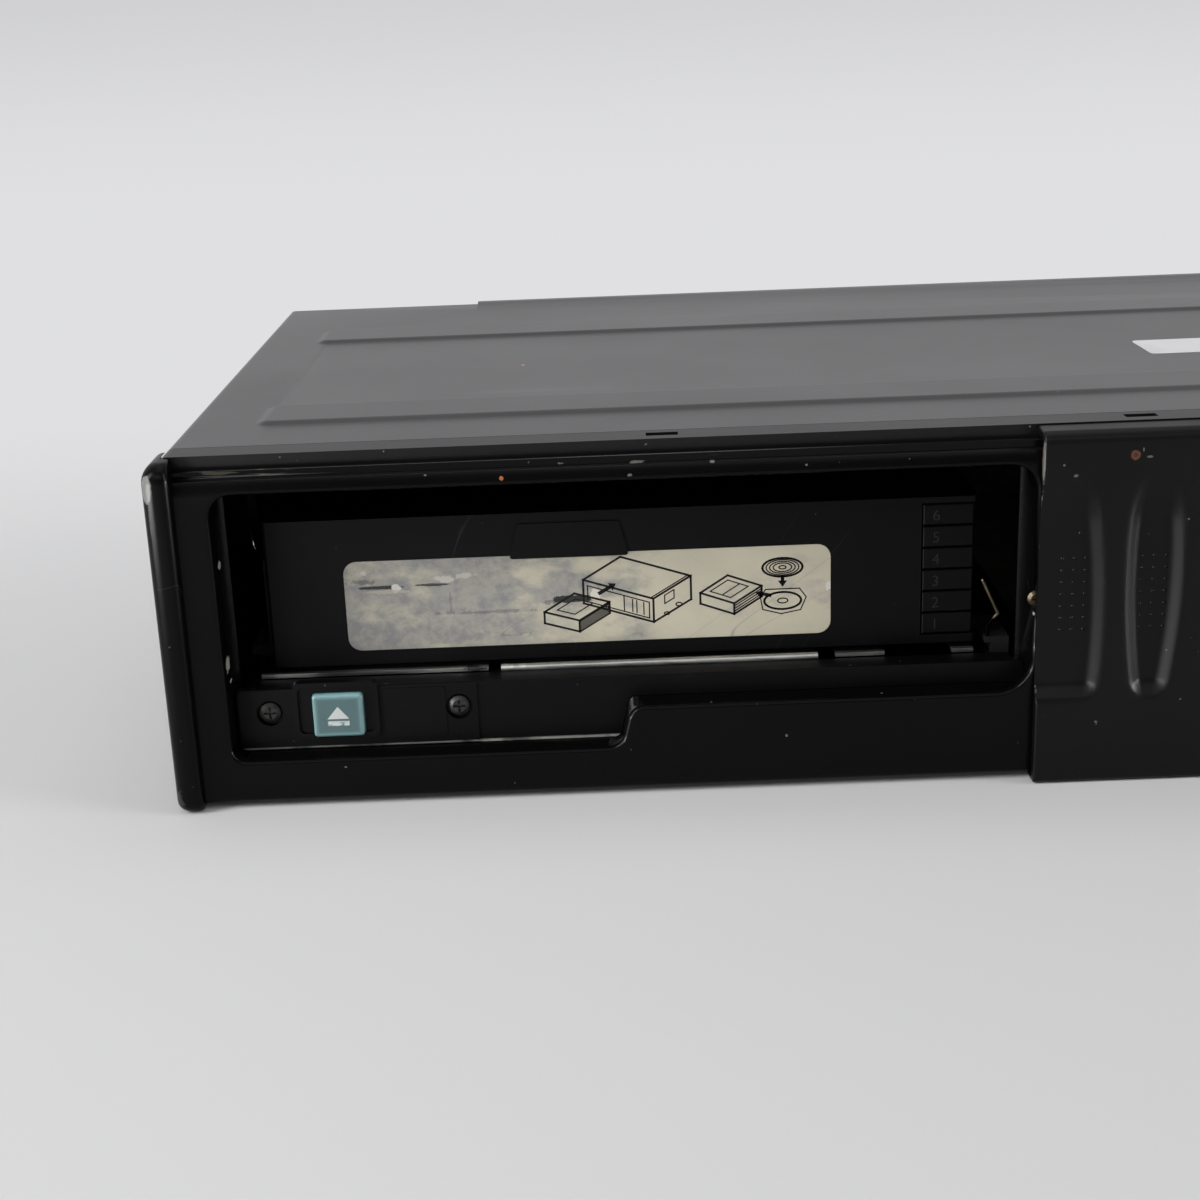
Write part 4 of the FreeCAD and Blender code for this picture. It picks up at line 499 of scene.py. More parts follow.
mouldLook = {"tone": (40.0, 0.88, 1.1), "gloss": (70.0, 0.85, 1.15), "grain": (2600.0, 2.0),
             "grainDepth": 0.01}


def plainMould(name, look):
    look = {**mouldLook, **look}
    material, shader, where = startMaterial(name, look)
    cover(shader, toned(look["colour"], mottle(where, *look["tone"])), slowGloss(where, look))
    addBump(shader, cloud(where, *look["grain"]), look["grainDepth"])
    return material


plainMould("greyMould", {"colour": (0.09, 0.09, 0.095), "roughness": 0.45,
                         "parts": ["turntable", "pickup_sled", "clamper"]})
plainMould("acetal", {"colour": (0.62, 0.61, 0.56), "roughness": 0.4,
                      "parts": ["lift_shaft", "lift_worm", "eject_pusher"]})
plainMould("softRubber", {"colour": (0.02, 0.02, 0.02), "roughness": 0.7, "grainDepth": 0.02,
                          "parts": ["dampers"]})
# painted shade: the angle dials are grey plastic, given this near-black mould as they sit in shade behind the
# gaps
plainMould("socketMould", {"colour": (0.03, 0.03, 0.032), "roughness": 0.4,
                           "parts": ["rear_socket", "left_angle_dial", "right_angle_dial"]})

lensLook = {
    "colour": (0.3, 0.34, 0.55), "rim": (0.45, 0.2, 0.5), "blend": 0.4, "reach": (0.1, 0.9),
    "roughness": 0.05, "sheen": (300.0, 0.04, 0.08), "shine": 0.6, "coat": 1.0, "coatRoughness": 0.03,
    "parts": ["objective_lens"]}


def makeLens(look):
    material, shader, where = startMaterial("coatedLens", look)
    # painted reflection: the colour turns from blue to purple towards a grazing view, for the coating's
    # reflection
    facing = addNode("LayerWeight", {"Blend": look["blend"]}, tree=material.node_tree).outputs["Facing"]
    colour = blendColour(ease(facing, *look["reach"]), look["colour"], look["rim"])
    cover(shader, colour, mottle(where, *look["sheen"]))


makeLens(lensLook)

boardLook = {
    "colour": (0.02, 0.11, 0.05), "roughness": 0.35, "roughRange": (0.3, 0.5), "shine": 0.5, "scale": 260.0,
    "trace": (0.035, 0.19, 0.08), "gap": 0.03, "dim": (0.2, 0.2, 0.2, 1), "part": (0.015, 0.015, 0.016),
    "partsFrom": 6.55, "edge": 0.0001, "depth": 0.01, "parts": ["main_board"]}


def makeBoard(name, look):
    # lacquered board with traces; whatever stands above the board is a dark part
    material, shader, where = startMaterial(name, look)
    grid = addNode("TexBrick", {"Vector": where, "Scale": look["scale"], "Mortar Size": look["gap"],
                                "Color1": (1, 1, 1, 1), "Color2": look["dim"], "Mortar": (0, 0, 0, 1)})
    traces = addNode("SeparateColor", {"Color": grid.outputs["Color"]}).outputs["Red"]
    low = spot(0, 0, look["partsFrom"]).z
    isPart = ease(coordinate(where, "Z"), low, low + look["edge"])
    colour = blendColour(isPart, blendColour(traces, look["colour"], look["trace"]), look["part"])
    cover(shader, colour, ease(isPart, 0.0, 1.0, *look["roughRange"]))
    addBump(shader, traces, look["depth"])


makeBoard("mainBoardGreen", boardLook)
makeBoard("frontBoardBlack", {
    **boardLook, "colour": (0.004, 0.005, 0.004), "trace": (0.007, 0.009, 0.007), "shine": 0.2,
    "partsFrom": 9000.0, "parts": ["front_board"]})  # all of it looks like bare board

discLook = {
    "colour": (0.82, 0.82, 0.85), "roughness": 0.12, "metal": 1.0, "coat": 0.6, "coatRoughness": 0.02,
    "middle": (87.6, 81.0, 0), "clearRadius": 0.0225, "hubEdge": 0.0006, "hub": (0.3, 0.3, 0.32),
    "hubMetal": 0.2, "bands": 3.0, "saturation": 0.55, "rainbow": 0.22, "rings": 16000.0,
    "ringDepth": 0.0006, "parts": ["disc_%d" % n for n in numbered]}


def makeDiscSilver(look):
    # pressed disc: fine rings, a clear hub and faint rainbow bands; the bands are a painted sheen fixed into
    # the colour, standing for the disc's diffraction of light
    material, shader, where = startMaterial("discSilver", look)
    away = vectorCalc("SUBTRACT", where, spot(*look["middle"]))
    x, y = coordinate(away, "X"), coordinate(away, "Y")
    radius = calc("SQRT", plus(times(x, x), times(y, y)))
    wave = calc("SINE", times(calc("ARCTAN2", y, x), look["bands"]))
    rainbow = addNode("CombineColor", {
        "Red": plus(times(wave, 0.5), 0.5), "Green": look["saturation"], "Blue": 1.0}, mode="HSV")
    tinted = blendColour(look["rainbow"], look["colour"], rainbow.outputs["Color"])
    hub = ease(radius, look["clearRadius"], look["clearRadius"] - look["hubEdge"])
    put(blendColour(hub, tinted, look["hub"]), shader["Base Color"])
    put(ease(hub, 0.0, 1.0, 1.0, look["hubMetal"]), shader["Metallic"])
    addBump(shader, calc("SINE", times(radius, look["rings"])), look["ringDepth"])


makeDiscSilver(discLook)

buttonLook = {
    "colour": (0.07, 0.137, 0.143), "roughness": 0.26, "shine": 0.5, "coat": 0.35,
    "middle": (31.7, 4.3, 16.9), "sideRim": (0.0036, 0.0049), "topRim": (0.0031, 0.0043),
    "rim": (0.2, 0.36, 0.37), "tone": (160.0, 0.9, 1.1), "dust": (900.0, 0.12, 0.2),
    "dustTint": (0.5, (0.1, 0.12, 0.12)), "glow": (0.008, 0.018, 0.019), "paintedRimGlow": (0.02, 0.04, 0.042),
    "paintedGlowPower": 0.6, "sheen": (400.0, 0.27, 0.38), "parts": ["eject_button"]}


def makeTealButton(look):
    # translucent blue-green cap: the paler rim and the faint glow over all of it are painted light, for light
    # passing through the plastic, most where it is thin along the rim
    material, shader, where = startMaterial("tealButton", look)
    away = vectorCalc("SUBTRACT", where, spot(*look["middle"]))
    side = ease(calc("ABSOLUTE", coordinate(away, "X")), *look["sideRim"])
    top = ease(calc("ABSOLUTE", coordinate(away, "Z")), *look["topRim"])
    rim = calc("MAXIMUM", side, top)
    colour = toned(blendColour(rim, look["colour"], look["rim"]), mottle(where, *look["tone"]))
    colour = tint(colour, effect(dustGroup, where, *look["dust"]), *look["dustTint"])
    cover(shader, colour, mottle(where, *look["sheen"]))
    # painted light: the cap glows faintly of its own, though it is no lamp
    put(blendColour(rim, look["glow"], look["paintedRimGlow"]), shader["Emission Color"])
    shader["Emission Strength"].default_value = look["paintedGlowPower"]


makeTealButton(buttonLook)
print("finished parts:", len(nodes) - len(bare), "bare:", bare)


# moulded parts with finer shapes than their solids

def addPiece(name, data, body, at=(0, 0, 0), turn=(0, 0, 0)):
    piece = bpy.data.objects.new(name, data)
    bpy.context.scene.collection.objects.link(piece)
    piece.location = at
    piece.rotation_euler = turn
    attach(piece, body)
    return piece


def makeMesh(name, material, build):
    mesh = bpy.data.meshes.new(name)
    shape = bmesh.new()
    build(shape)
    bmesh.ops.recalc_face_normals(shape, faces=shape.faces)
    shape.to_mesh(mesh)
    shape.free()
    mesh.materials.append(material)
    return mesh


def smoothFaces(mesh):
    for face in mesh.polygons:
        face.use_smooth = True


# the angle in degrees from which an edge stays sharp, and how near in metres a cut snaps and corners join
meshing = {"sharp": 32, "snap": 1e-7, "join": 1e-6}


def moulded(name, mesh, body, node):
    smoothFaces(mesh)
    mesh.set_sharp_from_angle(angle=math.radians(meshing["sharp"]))
    piece = addPiece(name, mesh, body)
    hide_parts(node)


def refined(name, node, body, material, cuts, move):
    # a copy of the part's mesh, cut into strips and then bent by a rule in millimetres
    mesh = nodes[node].data.copy()
    mesh.name = name
    shape = bmesh.new()
    shape.from_mesh(mesh)
    for axis, places in cuts.items():
        normal = Vector([1.0 if axis == way else 0.0 for way in "xyz"])
        for value in places:
            at = spot(*(value * part for part in normal))
            bmesh.ops.bisect_plane(shape, geom=shape.verts[:] + shape.edges[:] + shape.faces[:], plane_co=at,
                                   plane_no=normal, dist=meshing["snap"])
    for vert in shape.verts:
        vert.co = spot(*move(*placeOf(vert.co)))
    bmesh.ops.remove_doubles(shape, verts=shape.verts, dist=meshing["join"])
    shape.to_mesh(mesh)
    shape.free()
    mesh.materials.clear()
    mesh.materials.append(material)
    moulded(name, mesh, body, node)


def steps(low, high, step):
    count = round((high - low) / step)
    return [low + (high - low) * i / count for i in range(count + 1)]


def clamped(share):
    return min(1, max(0, share))


def softStep(share):
    return share * share * (3 - 2 * share)


scoop = {
    "left": 165.0, "front": -3.0, "depth": 1.75, "low": 16.4, "high": 61.5, "sideWall": 3.3, "lowWall": 4.2,
    "highWall": 10.0, "end": 192.6, "middle": 186.4, "between": 179.0, "edgeRound": 0.5, "margin": 2,
    "firstEdge": (178.0, -1.9, 33.0, 24.0), "secondEdge": (180.4, 1.3, 43.0, 20.0),
    "columns": (165.6, 193.6, 0.7), "rows": (15.7, 61.2, 0.91)}


def bowedEdge(z, place, bow, widest, reach):
    return place + bow * ((z - widest) / reach) ** 2


def scoopDepth(x, z):
    # the first scoop runs out at the door's end, the second is closed; upper ends fade out softly
    if x < scoop["between"]:
        wall = bowedEdge(z, *scoop["firstEdge"]) - x
    else:
        wall = scoop["middle"] - bowedEdge(z, *scoop["secondEdge"]) - abs(x - scoop["middle"])
    across = 1 - wall / scoop["sideWall"]
    low = 1 - (z - scoop["low"]) / scoop["lowWall"]
    high = 1 - (scoop["high"] - z) / scoop["highWall"]
    return scoop["depth"] * softStep(clamped(1 - math.hypot(max(0, across), max(0, low), max(0, high))))


def bendDoor(x, y, z):
    margin, edgeRound = scoop["margin"], scoop["edgeRound"]
    inside = x < scoop["end"] + margin and scoop["low"] - margin < z < scoop["high"] + margin
    if not inside or y >= scoop["front"] + scoop["depth"]:
        return x, y, z
    edge = max(0, min(edgeRound, x - scoop["left"]))  # the door's end stays rounded
    rounding = edgeRound - math.sqrt(max(0, edgeRound ** 2 - (edgeRound - edge) ** 2))
    return x, scoop["front"] + max(scoopDepth(x, z), rounding), z


refined("scoopedDoor", "sliding_door", "door", doorPlastic,
        {"x": steps(*scoop["columns"]), "z": steps(*scoop["rows"])}, bendDoor)

ridge = {"low": 62.0, "high": 65.7, "lean": 0.9, "top": 67.6, "behind": 2.3, "rows": (62.0, 67.4, 0.3)}


def bendFascia(x, y, z):
    # the upper band leans back on a wide radius
    if y < ridge["behind"] and z > ridge["low"]:
        height = ridge["high"] - ridge["low"]
        rise = min(z, ridge["high"]) - ridge["low"]
        radius = (height ** 2 + ridge["lean"] ** 2) / (2 * ridge["lean"])
        fade = min(1, (ridge["top"] - z) / (ridge["top"] - ridge["high"]))
        y += (radius - math.sqrt(radius * radius - rise * rise)) * max(0, fade)
    return x, y, z


refined("mouldedFascia", "front_fascia", "housing", fasciaPlastic,
        {"z": steps(*ridge["rows"])}, bendFascia)

bead = {
    "left": 16.2, "right": 315.0, "nears": (27.4, 118.4), "deep": 19.0, "round": 3.2, "rise": 0.7,
    "top": 69.4, "slope": 2.4, "touch": 0.01, "cuts": (0.3, 3.3, 0.3)}


def bendCover(x, y, z):
    # the two pressed beads rise softly out of the sheet
    if z < bead["top"] - bead["touch"]:
        return x, y, z
    for near in bead["nears"]:
        across, along = min(x - bead["left"], bead["right"] - x), min(y - near, near + bead["deep"] - y)
        inside = min(across, along)
        if max(across, along) < bead["round"]:
            inside = bead["round"] - math.hypot(bead["round"] - across, bead["round"] - along)
        if inside > -bead["touch"]:
            return x, y, bead["top"] + bead["rise"] * softStep(clamped(inside / bead["slope"]))
    return x, y, z


def beadCuts(low, high):
    first, last, step = bead["cuts"]
    return steps(low + first, low + last, step) + steps(high - last, high - first, step)


refined("beadedCover", "top_cover", "housing", coverPaint,
        {"x": beadCuts(bead["left"], bead["right"]),
         "y": [place for near in bead["nears"] for place in beadCuts(near, near + bead["deep"])]}, bendCover)

cap = {
    "width": 5.3, "front": -2.4, "back": 9.0, "top": 69.2, "step": 4.0, "inner": 2.1, "outerRound": 2.5,
    "innerRound": 1.6, "crown": 3.6, "crownLean": 0.9, "crownRings": 8, "foot": 2.6, "footLean": 0.2,
    "footRings": 6, "leftLean": 0.75, "outerMost": 0.58, "innerMost": 0.4, "leastWall": 0.2, "total": 331.2}


def arcPoints(cx, cy, radius, start, sweep, count):
    return [(cx + radius * math.cos(math.radians(start + sweep * i / count)),
             cy + radius * math.sin(math.radians(start + sweep * i / count))) for i in range(count + 1)]


def capOutline(side, inset, innerInset):
    left, front, right = inset * cap["leftLean"], cap["front"] + inset, cap["width"] - innerInset
    wide = right - left
    outer = min(cap["outerRound"], wide * cap["outerMost"])
    inner = min(cap["innerRound"], wide * cap["innerMost"])
    loop = arcPoints(left + outer, front + outer, outer, 180, 90, 8)
    loop += arcPoints(right - inner, front + inner, inner, -90, 90, 6)
    rear = max(cap["inner"], left + cap["leastWall"])
    loop += [(right, cap["step"]), (rear, cap["step"]), (rear, cap["back"]), (left, cap["back"])]
    return loop if side == "left" else [(cap["total"] - x, y) for x, y in loop]


def quarterTurn(count):
    # 1 less the cosine and 1 less the sine of the angle, at each step of a quarter round
    angles = [math.radians(90 * i / count) for i in range(count + 1)]
    return [(1 - math.cos(angle), 1 - math.sin(angle)) for angle in angles]


def bridge(shape, first, second):
    for i in range(len(first)):
        j = (i + 1) % len(first)
        shape.faces.new((first[i], first[j], second[j], second[i]))


def makeCap(name, side, node):
    # rings with their height and the insets of their outer and inner sides, from the foot to the crown
    rings = [(cap["foot"] * over, cap["foot"] * under, cap["foot"] * under * cap["footLean"])
             for over, under in quarterTurn(cap["footRings"])]
    rings += [(cap["top"] - cap["crown"] * under, cap["crown"] * over, cap["crownLean"] * over)
              for over, under in quarterTurn(cap["crownRings"])]

    def build(shape):
        loops = [[shape.verts.new(spot(x, y, z)) for x, y in capOutline(side, inset, innerInset)]
                 for z, inset, innerInset in rings]
        for low, high in zip(loops, loops[1:]):
            bridge(shape, low, high)
        shape.faces.new(list(reversed(loops[0])))
        shape.faces.new(loops[-1])

    moulded(name, makeMesh(name, capPlastic, build), "housing", node)


makeCap("leftCap", "left", "left_end_cap")
makeCap("rightCap", "right", "right_end_cap")
print("moulded parts refined")


# flat pieces that are stuck or printed on

def meshPiece(name, body, material, build, bevel=0.0):
    mesh = makeMesh(name, material, build)
    piece = addPiece(name, mesh, body)
    if bevel:
        edge = piece.modifiers.new("edge", "BEVEL")
        edge.width = bevel / 1000
        edge.segments = 2
        edge.limit_method = "ANGLE"
    return mesh


def roundedLoop(left, right, low, high, radius):
    loop = []
    for cx, cz, start in ((right - radius, high - radius, 0), (left + radius, high - radius, 90),
                          (left + radius, low + radius, 180), (right - radius, low + radius, 270)):
        loop += arcPoints(cx, cz, radius, start, 90, 6)
    return loop


def addPrism(shape, loop, level, thick, plane="front"):
    # a thin plate on a loop; front plates face -y and top plates face +z
    if plane == "front":
        rims = [[spot(u, level - rise, v) for u, v in loop] for rise in (thick, 0)]
    else:
        rims = [[spot(u, v, level + rise) for u, v in loop] for rise in (thick, 0)]
    outer, inner = [[shape.verts.new(place) for place in rim] for rim in rims]
    shape.faces.new(outer)
    shape.faces.new(list(reversed(inner)))
    bridge(shape, outer, inner)


label = {
    "left": 33.5, "right": 128.3, "low": 26.6, "high": 44.8, "round": 2.6, "face": 14.5, "thick": 0.12,
    "bevel": 0.04, "colour": (0.6, 0.555, 0.43), "roughness": 0.42, "shine": 0.4,
    "smears": (85.0, 6.0, 0.62), "bend": ((1.0, 1.0, 1.7), (0, 0.5, 0)), "patches": (34.0, 3.0, 0.6),
    "grain": (420.0, 4.0, 0.7), "worse": (0.12, -0.1), "smearRange": (0.4, 0.62), "patchRange": (0.36, 0.54),
    "grainRange": (0.3, 0.7, 0.7, 1.15), "stainTint": (0.85, (0.26, 0.26, 0.265)), "tone": (45.0, 0.9, 1.1),
    "markReach": 3.0, "markGrain": 800.0, "scratch": (150.0, (0.12, 1.0, 1.0), (0, 0.5, 0), 0.006, 0.45),
    "scratchTint": (0.35, (0.1, 0.1, 0.1)), "sheen": (60.0, 0.36, 0.52), "creaseShare": 0.8,
    "creases": (300.0, 3.0), "creaseDepth": 0.08}
labelMarks = [
    # middle and reach in the label's own plane, colour, strength and raggedness
    ((37.0, 40.6), (3.0, 0.5), (0.05, 0.05, 0.05), 0.5, 0.8),
    ((40.8, 39.4), (4.4, 0.38), (0.012, 0.012, 0.012), 0.95, 0.3),
    ((50.6, 39.6), (3.4, 0.3), (0.02, 0.02, 0.02), 0.9, 0.3),
    ((43.6, 39.2), (0.9, 0.9), (0.7, 0.69, 0.65), 0.95, 0.5),
    ((53.0, 40.6), (2.2, 0.7), (0.62, 0.6, 0.55), 0.8, 0.6),
    ((57.0, 41.2), (2.0, 0.5), (0.6, 0.57, 0.5), 0.7, 0.7),
    ((37.4, 42.4), (0.8, 0.6), (0.65, 0.62, 0.55), 0.7, 0.7),
    ((42.0, 38.5), (5.0, 0.4), (0.5, 0.46, 0.36), 0.7, 0.5),
    ((73.6, 35.2), (2.6, 0.5), (0.05, 0.05, 0.05), 0.5, 0.9),
    ((77.6, 35.6), (4.4, 0.8), (0.008, 0.008, 0.008), 0.96, 0.35),
    ((82.4, 36.4), (1.0, 1.3), (0.8, 0.74, 0.66), 0.95, 0.4),
    ((128.0, 36.2), (0.7, 0.9), (0.7, 0.68, 0.62), 0.9, 0.5),
    ((61.0, 33.6), (9.0, 0.35), (0.09, 0.09, 0.1), 0.45, 1.0),
    ((54.0, 35.8), (0.3, 2.0), (0.1, 0.1, 0.11), 0.35, 0.5)]


def makeLabelPaper(look):
    # glossy cream paper, smeared blue grey over most of it, torn and lifted in two places
    material, shader, where = startMaterial("labelPaper", look)
    smears = cloud(stretch(where, *look["bend"]), *look["smears"])
    worse = easeAlong(where, "X", look["left"], look["right"], *look["worse"])
    stain = times(ease(plus(smears, worse), *look["smearRange"]),
                 ease(plus(cloud(where, *look["patches"]), worse), *look["patchRange"]))
    grainy = ease(cloud(where, *look["grain"]), *look["grainRange"])
    colour = tint(look["colour"], times(stain, grainy), *look["stainTint"])
    colour = toned(colour, mottle(where, *look["tone"]))
    for (u, v), (reachU, reachV), shade, amount, ragged in labelMarks:
        reach = (reachU, look["markReach"], reachV)
        mark = wornSpot(where, (u, look["face"], v), reach, ragged, look["markGrain"])
        colour = tint(colour, mark, amount, shade)
    colour = tint(colour, effect(scratchGroup, where, *look["scratch"]), *look["scratchTint"])
    cover(shader, colour, mottle(where, *look["sheen"]))
    creases = times(smears, look["creaseShare"])
    addBump(shader, plus(creases, cloud(where, *look["creases"])), look["creaseDepth"])
    return material


def drawPaper(shape):
    loop = roundedLoop(*(label[key] for key in ("left", "right", "low", "high", "round")))
    addPrism(shape, loop, label["face"], label["thick"])


meshPiece("magazineLabel", "magazine", makeLabelPaper(label), drawPaper, label["bevel"])

ink = {
    "colour": (0.005, 0.005, 0.006), "roughness": 0.6, "shine": 0.1, "width": 0.42, "thin": 0.24,
    "thick": 0.015, "fade": (220.0, 0.0, 1.0), "fadeTint": (0.06, (0.25, 0.24, 0.2)),
    "sheen": (90.0, 0.4, 0.6), "face": label["face"] - label["thick"], "arrowLong": 1.3, "arrowWide": 0.9}


def makeInk(look):
    material, shader, where = startMaterial("labelInkBlack", look)
    colour = tint(look["colour"], mottle(where, *look["fade"]), *look["fadeTint"])
    cover(shader, colour, mottle(where, *look["sheen"]))
    return material


def inkLine(shape, points, width, closed=False):
    # a printed stroke with square ends
    count = len(points)
    pairs = [(points[i], points[(i + 1) % count]) for i in range(count if closed else count - 1)]
    for (u0, v0), (u1, v1) in pairs:
        run = math.hypot(u1 - u0, v1 - v0)
        du, dv = (u1 - u0) / run * width / 2, (v1 - v0) / run * width / 2
        corners = [(u0 - du + dv, v0 - dv - du), (u1 + du + dv, v1 + dv - du), (u1 + du - dv, v1 + dv + du),
                   (u0 - du - dv, v0 - dv + du)]
        addPrism(shape, corners, ink["face"], ink["thick"])


def drawArrow(shape, tail, head, width):
    run = math.hypot(head[0] - tail[0], head[1] - tail[1])
    du, dv = (head[0] - tail[0]) / run, (head[1] - tail[1]) / run
    u, v = head[0] - du * ink["arrowLong"], head[1] - dv * ink["arrowLong"]
    inkLine(shape, [tail, (u, v)], width)
    wing = ink["arrowWide"]
    addPrism(shape, [(u - dv * wing, v + du * wing), (u + dv * wing, v - du * wing), head], ink["face"],
             ink["thick"])


def ring(middle, reach, count):
    angles = [2 * math.pi * i / count for i in range(count)]
    (u, v), (reachU, reachV) = middle, reach
    return [(u + reachU * math.cos(angle), v + reachV * math.sin(angle)) for angle in angles]


# plain loading pictures: a case into a box, then a tray with its disc into a case
boxPictures = [
    # a box from its nearest low corner; strokes on it are in shares of its left, right and upright edges
    {"corner": (93.6, 30.2), "left": (-13.6, 4.4), "right": (7.4, 4.4), "up": 4.8,
     "loops": [[(0.06, 0, 0.12), (0.94, 0, 0.12), (0.94, 0, 0.8), (0.06, 0, 0.8)],
               [(0, 0.3, 0.5), (0, 0.55, 0.5), (0, 0.55, 0.85), (0, 0.3, 0.85)]],
     "lines": [[(0.42, 0, 0.12), (0.42, 0, 0.8)], [(0.04, 0, 1.0), (0.04, 1, 1.0)]]
     + [[(share, 0, 0.22), (share, 0, 0.72)] for share in (0.14, 0.24, 0.3)]},
    {"corner": (79.0, 28.8), "left": (-6.8, 2.0), "right": (6.0, 3.6), "up": 2.3,
     "loops": [[(0.3, 0.2, 1), (0.8, 0.2, 1), (0.8, 0.8, 1), (0.3, 0.8, 1)]],
     "lines": [[(0, 0, share), (0, 1, share)] for share in (0.2, 0.36, 0.52, 0.68, 0.84)]},
    {"corner": (109.4, 31.2), "left": (-6.6, 2.4), "right": (5.4, 3.4), "up": 2.2,
     "loops": [[(0.25, 0.18, 1), (0.85, 0.18, 1), (0.85, 0.82, 1), (0.25, 0.82, 1)]],
     "lines": [[(0, 0, share), (0, 1, share)] for share in (0.25, 0.5, 0.75)]
     + [[(0.5, 0.18, 1), (0.5, 0.82, 1)]]}]
wideRings = [((118.9, 40.4), (3.9, 1.9), 28), ((118.9, 33.6), (3.6, 1.75), 28)]
thinRings = [((98.6, 33.7), (0.6, 0.35), 10), ((96.2, 31.9), (0.5, 0.3), 10),
             ((118.9, 40.4), (0.7, 0.35), 10), ((118.9, 33.6), (1.0, 0.5), 12)]
thinRings += [((118.9, 40.4), (3.9 * share, 1.9 * share), 24) for share in (0.82, 0.64, 0.46)]
trayPicture = [(114.5, 34.6), (115.6, 36.0), (122.2, 36.0), (123.5, 34.2), (122.4, 31.6), (118.6, 30.9),
               (115.0, 31.9)]
arrows = [((83.2, 36.6), (86.4, 38.4), 0.75), ((116.4, 34.8), (113.6, 35.4), 0.7),
          ((118.9, 38.4), (118.9, 36.4), 0.7)]


def drawBox(shape, box):
    (u, v), left, right = box["corner"], box["left"], box["right"]

    def placed(points):
        return [(u + left[0] * a + right[0] * b, v + left[1] * a + right[1] * b + box["up"] * c)
                for a, b, c in points]

    edge = [(0, 0, 0), (1, 0, 0), (1, 0, 1), (1, 1, 1), (0, 1, 1), (0, 1, 0)]
    inkLine(shape, placed(edge), ink["width"], True)
    inkLine(shape, placed([(1, 0, 1), (0, 0, 1), (0, 1, 1)]), ink["width"])
    inkLine(shape, placed([(0, 0, 0), (0, 0, 1)]), ink["width"])
    for points in box["loops"]:
        inkLine(shape, placed(points), ink["thin"], True)
    for points in box["lines"]:
        inkLine(shape, placed(points), ink["thin"])


def drawPictures(shape):
    for box in boxPictures:
        drawBox(shape, box)
    for rings, width in ((wideRings, ink["width"]), (thinRings, ink["thin"])):
        for each in rings:
            inkLine(shape, ring(*each), width, True)
    inkLine(shape, trayPicture, ink["thin"], True)
    for each in arrows:
        drawArrow(shape, *each)


meshPiece("labelPictures", "magazine", makeInk(ink), drawPictures)
print("label ready")

numbers = {
    "size": 3.1, "left": 148.0, "first": 26.5, "pitch": 4.43, "face": 14.5, "rise": 0.06,
    "colour": (0.003, 0.003, 0.003), "roughness": 0.2, "shine": 0.3, "grainDepth": 0.002}
numberGloss = plainMould("numberGloss", numbers)
for n in numbered:
    curve = bpy.data.curves.new("cellNumber%d" % n, "FONT")
    curve.body = str(n)
    curve.size = numbers["size"] / 1000
    curve.extrude = numbers["rise"] / 2000
    curve.align_x = "LEFT"
    curve.materials.append(numberGloss)
    level = numbers["first"] + (n - 1) * numbers["pitch"]
    at = spot(numbers["left"], numbers["face"] - numbers["rise"] / 2, level)
    addPiece("cellNumber%d" % n, curve, "tray_%d_set" % n, at, (math.radians(90), 0, 0))

eject = {
    "middle": (31.7, 16.9), "face": 4.3, "rise": 0.03, "half": 2.1, "base": -0.6, "tip": 1.9, "barLow": -2.0,
    "barHigh": -1.05, "colour": (0.62, 0.65, 0.64), "roughness": 0.5, "shine": 0.4,
    "wear": (900.0, 4.0, 0.7), "wearRange": (0.5, 0.6), "levels": (16.6, 14.8), "sheen": (300.0, 0.45, 0.6)}


def makeWornPrint(look):
    # the print is worn through to the button's own colour, more so towards its lower edge
    material, shader, where = startMaterial("wornPrint", look)
    gone = ease(cloud(where, *look["wear"]), *look["wearRange"])
    colour = tint(look["colour"], gone, easeAlong(where, "Z", *look["levels"]), buttonLook["colour"])
    cover(shader, colour, mottle(where, *look["sheen"]))
    return material


def drawEject(shape):
    (u, v), half = eject["middle"], eject["half"]
    base, low, high = v + eject["base"], v + eject["barLow"], v + eject["barHigh"]
    arrow = [(u - half, base), (u + half, base), (u, v + eject["tip"])]
    bar = [(u - half, low), (u + half, low), (u + half, high), (u - half, high)]
    for loop in (arrow, bar):
        addPrism(shape, loop, eject["face"], eject["rise"])


meshPiece("ejectSymbol", "button", makeWornPrint(eject), drawEject)

dots = {
    "columns": (169.4, 171.6, 173.8, 184.2, 186.5, 188.8), "low": 30.8, "step": 2.33, "rows": 7,
    "face": -1.3, "radius": 0.3, "rise": 0.2, "sides": 8, "shoulder": 0.62, "shoulderDrop": 1.6}


def addDome(shape, x, y, z):
    rims = []
    for share in (1.0, dots["shoulder"]):
        level = y - dots["rise"] * (1 - share) * dots["shoulderDrop"]
        loop = ring((x, z), (dots["radius"] * share, dots["radius"] * share), dots["sides"])
        rims.append([shape.verts.new(spot(u, level, v)) for u, v in loop])
    tip = shape.verts.new(spot(x, y - dots["rise"], z))
    bridge(shape, *rims)
    for a in range(dots["sides"]):
        shape.faces.new((rims[1][a], rims[1][(a + 1) % dots["sides"]], tip))


def drawDots(shape):
    for x in dots["columns"]:
        for row in range(dots["rows"]):
            addDome(shape, x, dots["face"], dots["low"] + row * dots["step"])


smoothFaces(meshPiece("gripDots", "door", doorPlastic, drawDots))

topLabel = {
    "left": 204.4, "right": 262.0, "front": 66.3, "back": 82.3, "round": 1.5, "level": 69.4, "thick": 0.1,
    "bevel": 0.04, "colour": (0.72, 0.72, 0.74), "roughness": 0.45, "shine": 0.4, "grime": (60.0, 5.0, 0.6),
    "grimeRange": (0.45, 0.7), "grimeTint": (0.3, (0.4, 0.38, 0.34)), "sheen": (50.0, 0.4, 0.55),
    "grain": (300.0, 3.0), "grainDepth": 0.03}


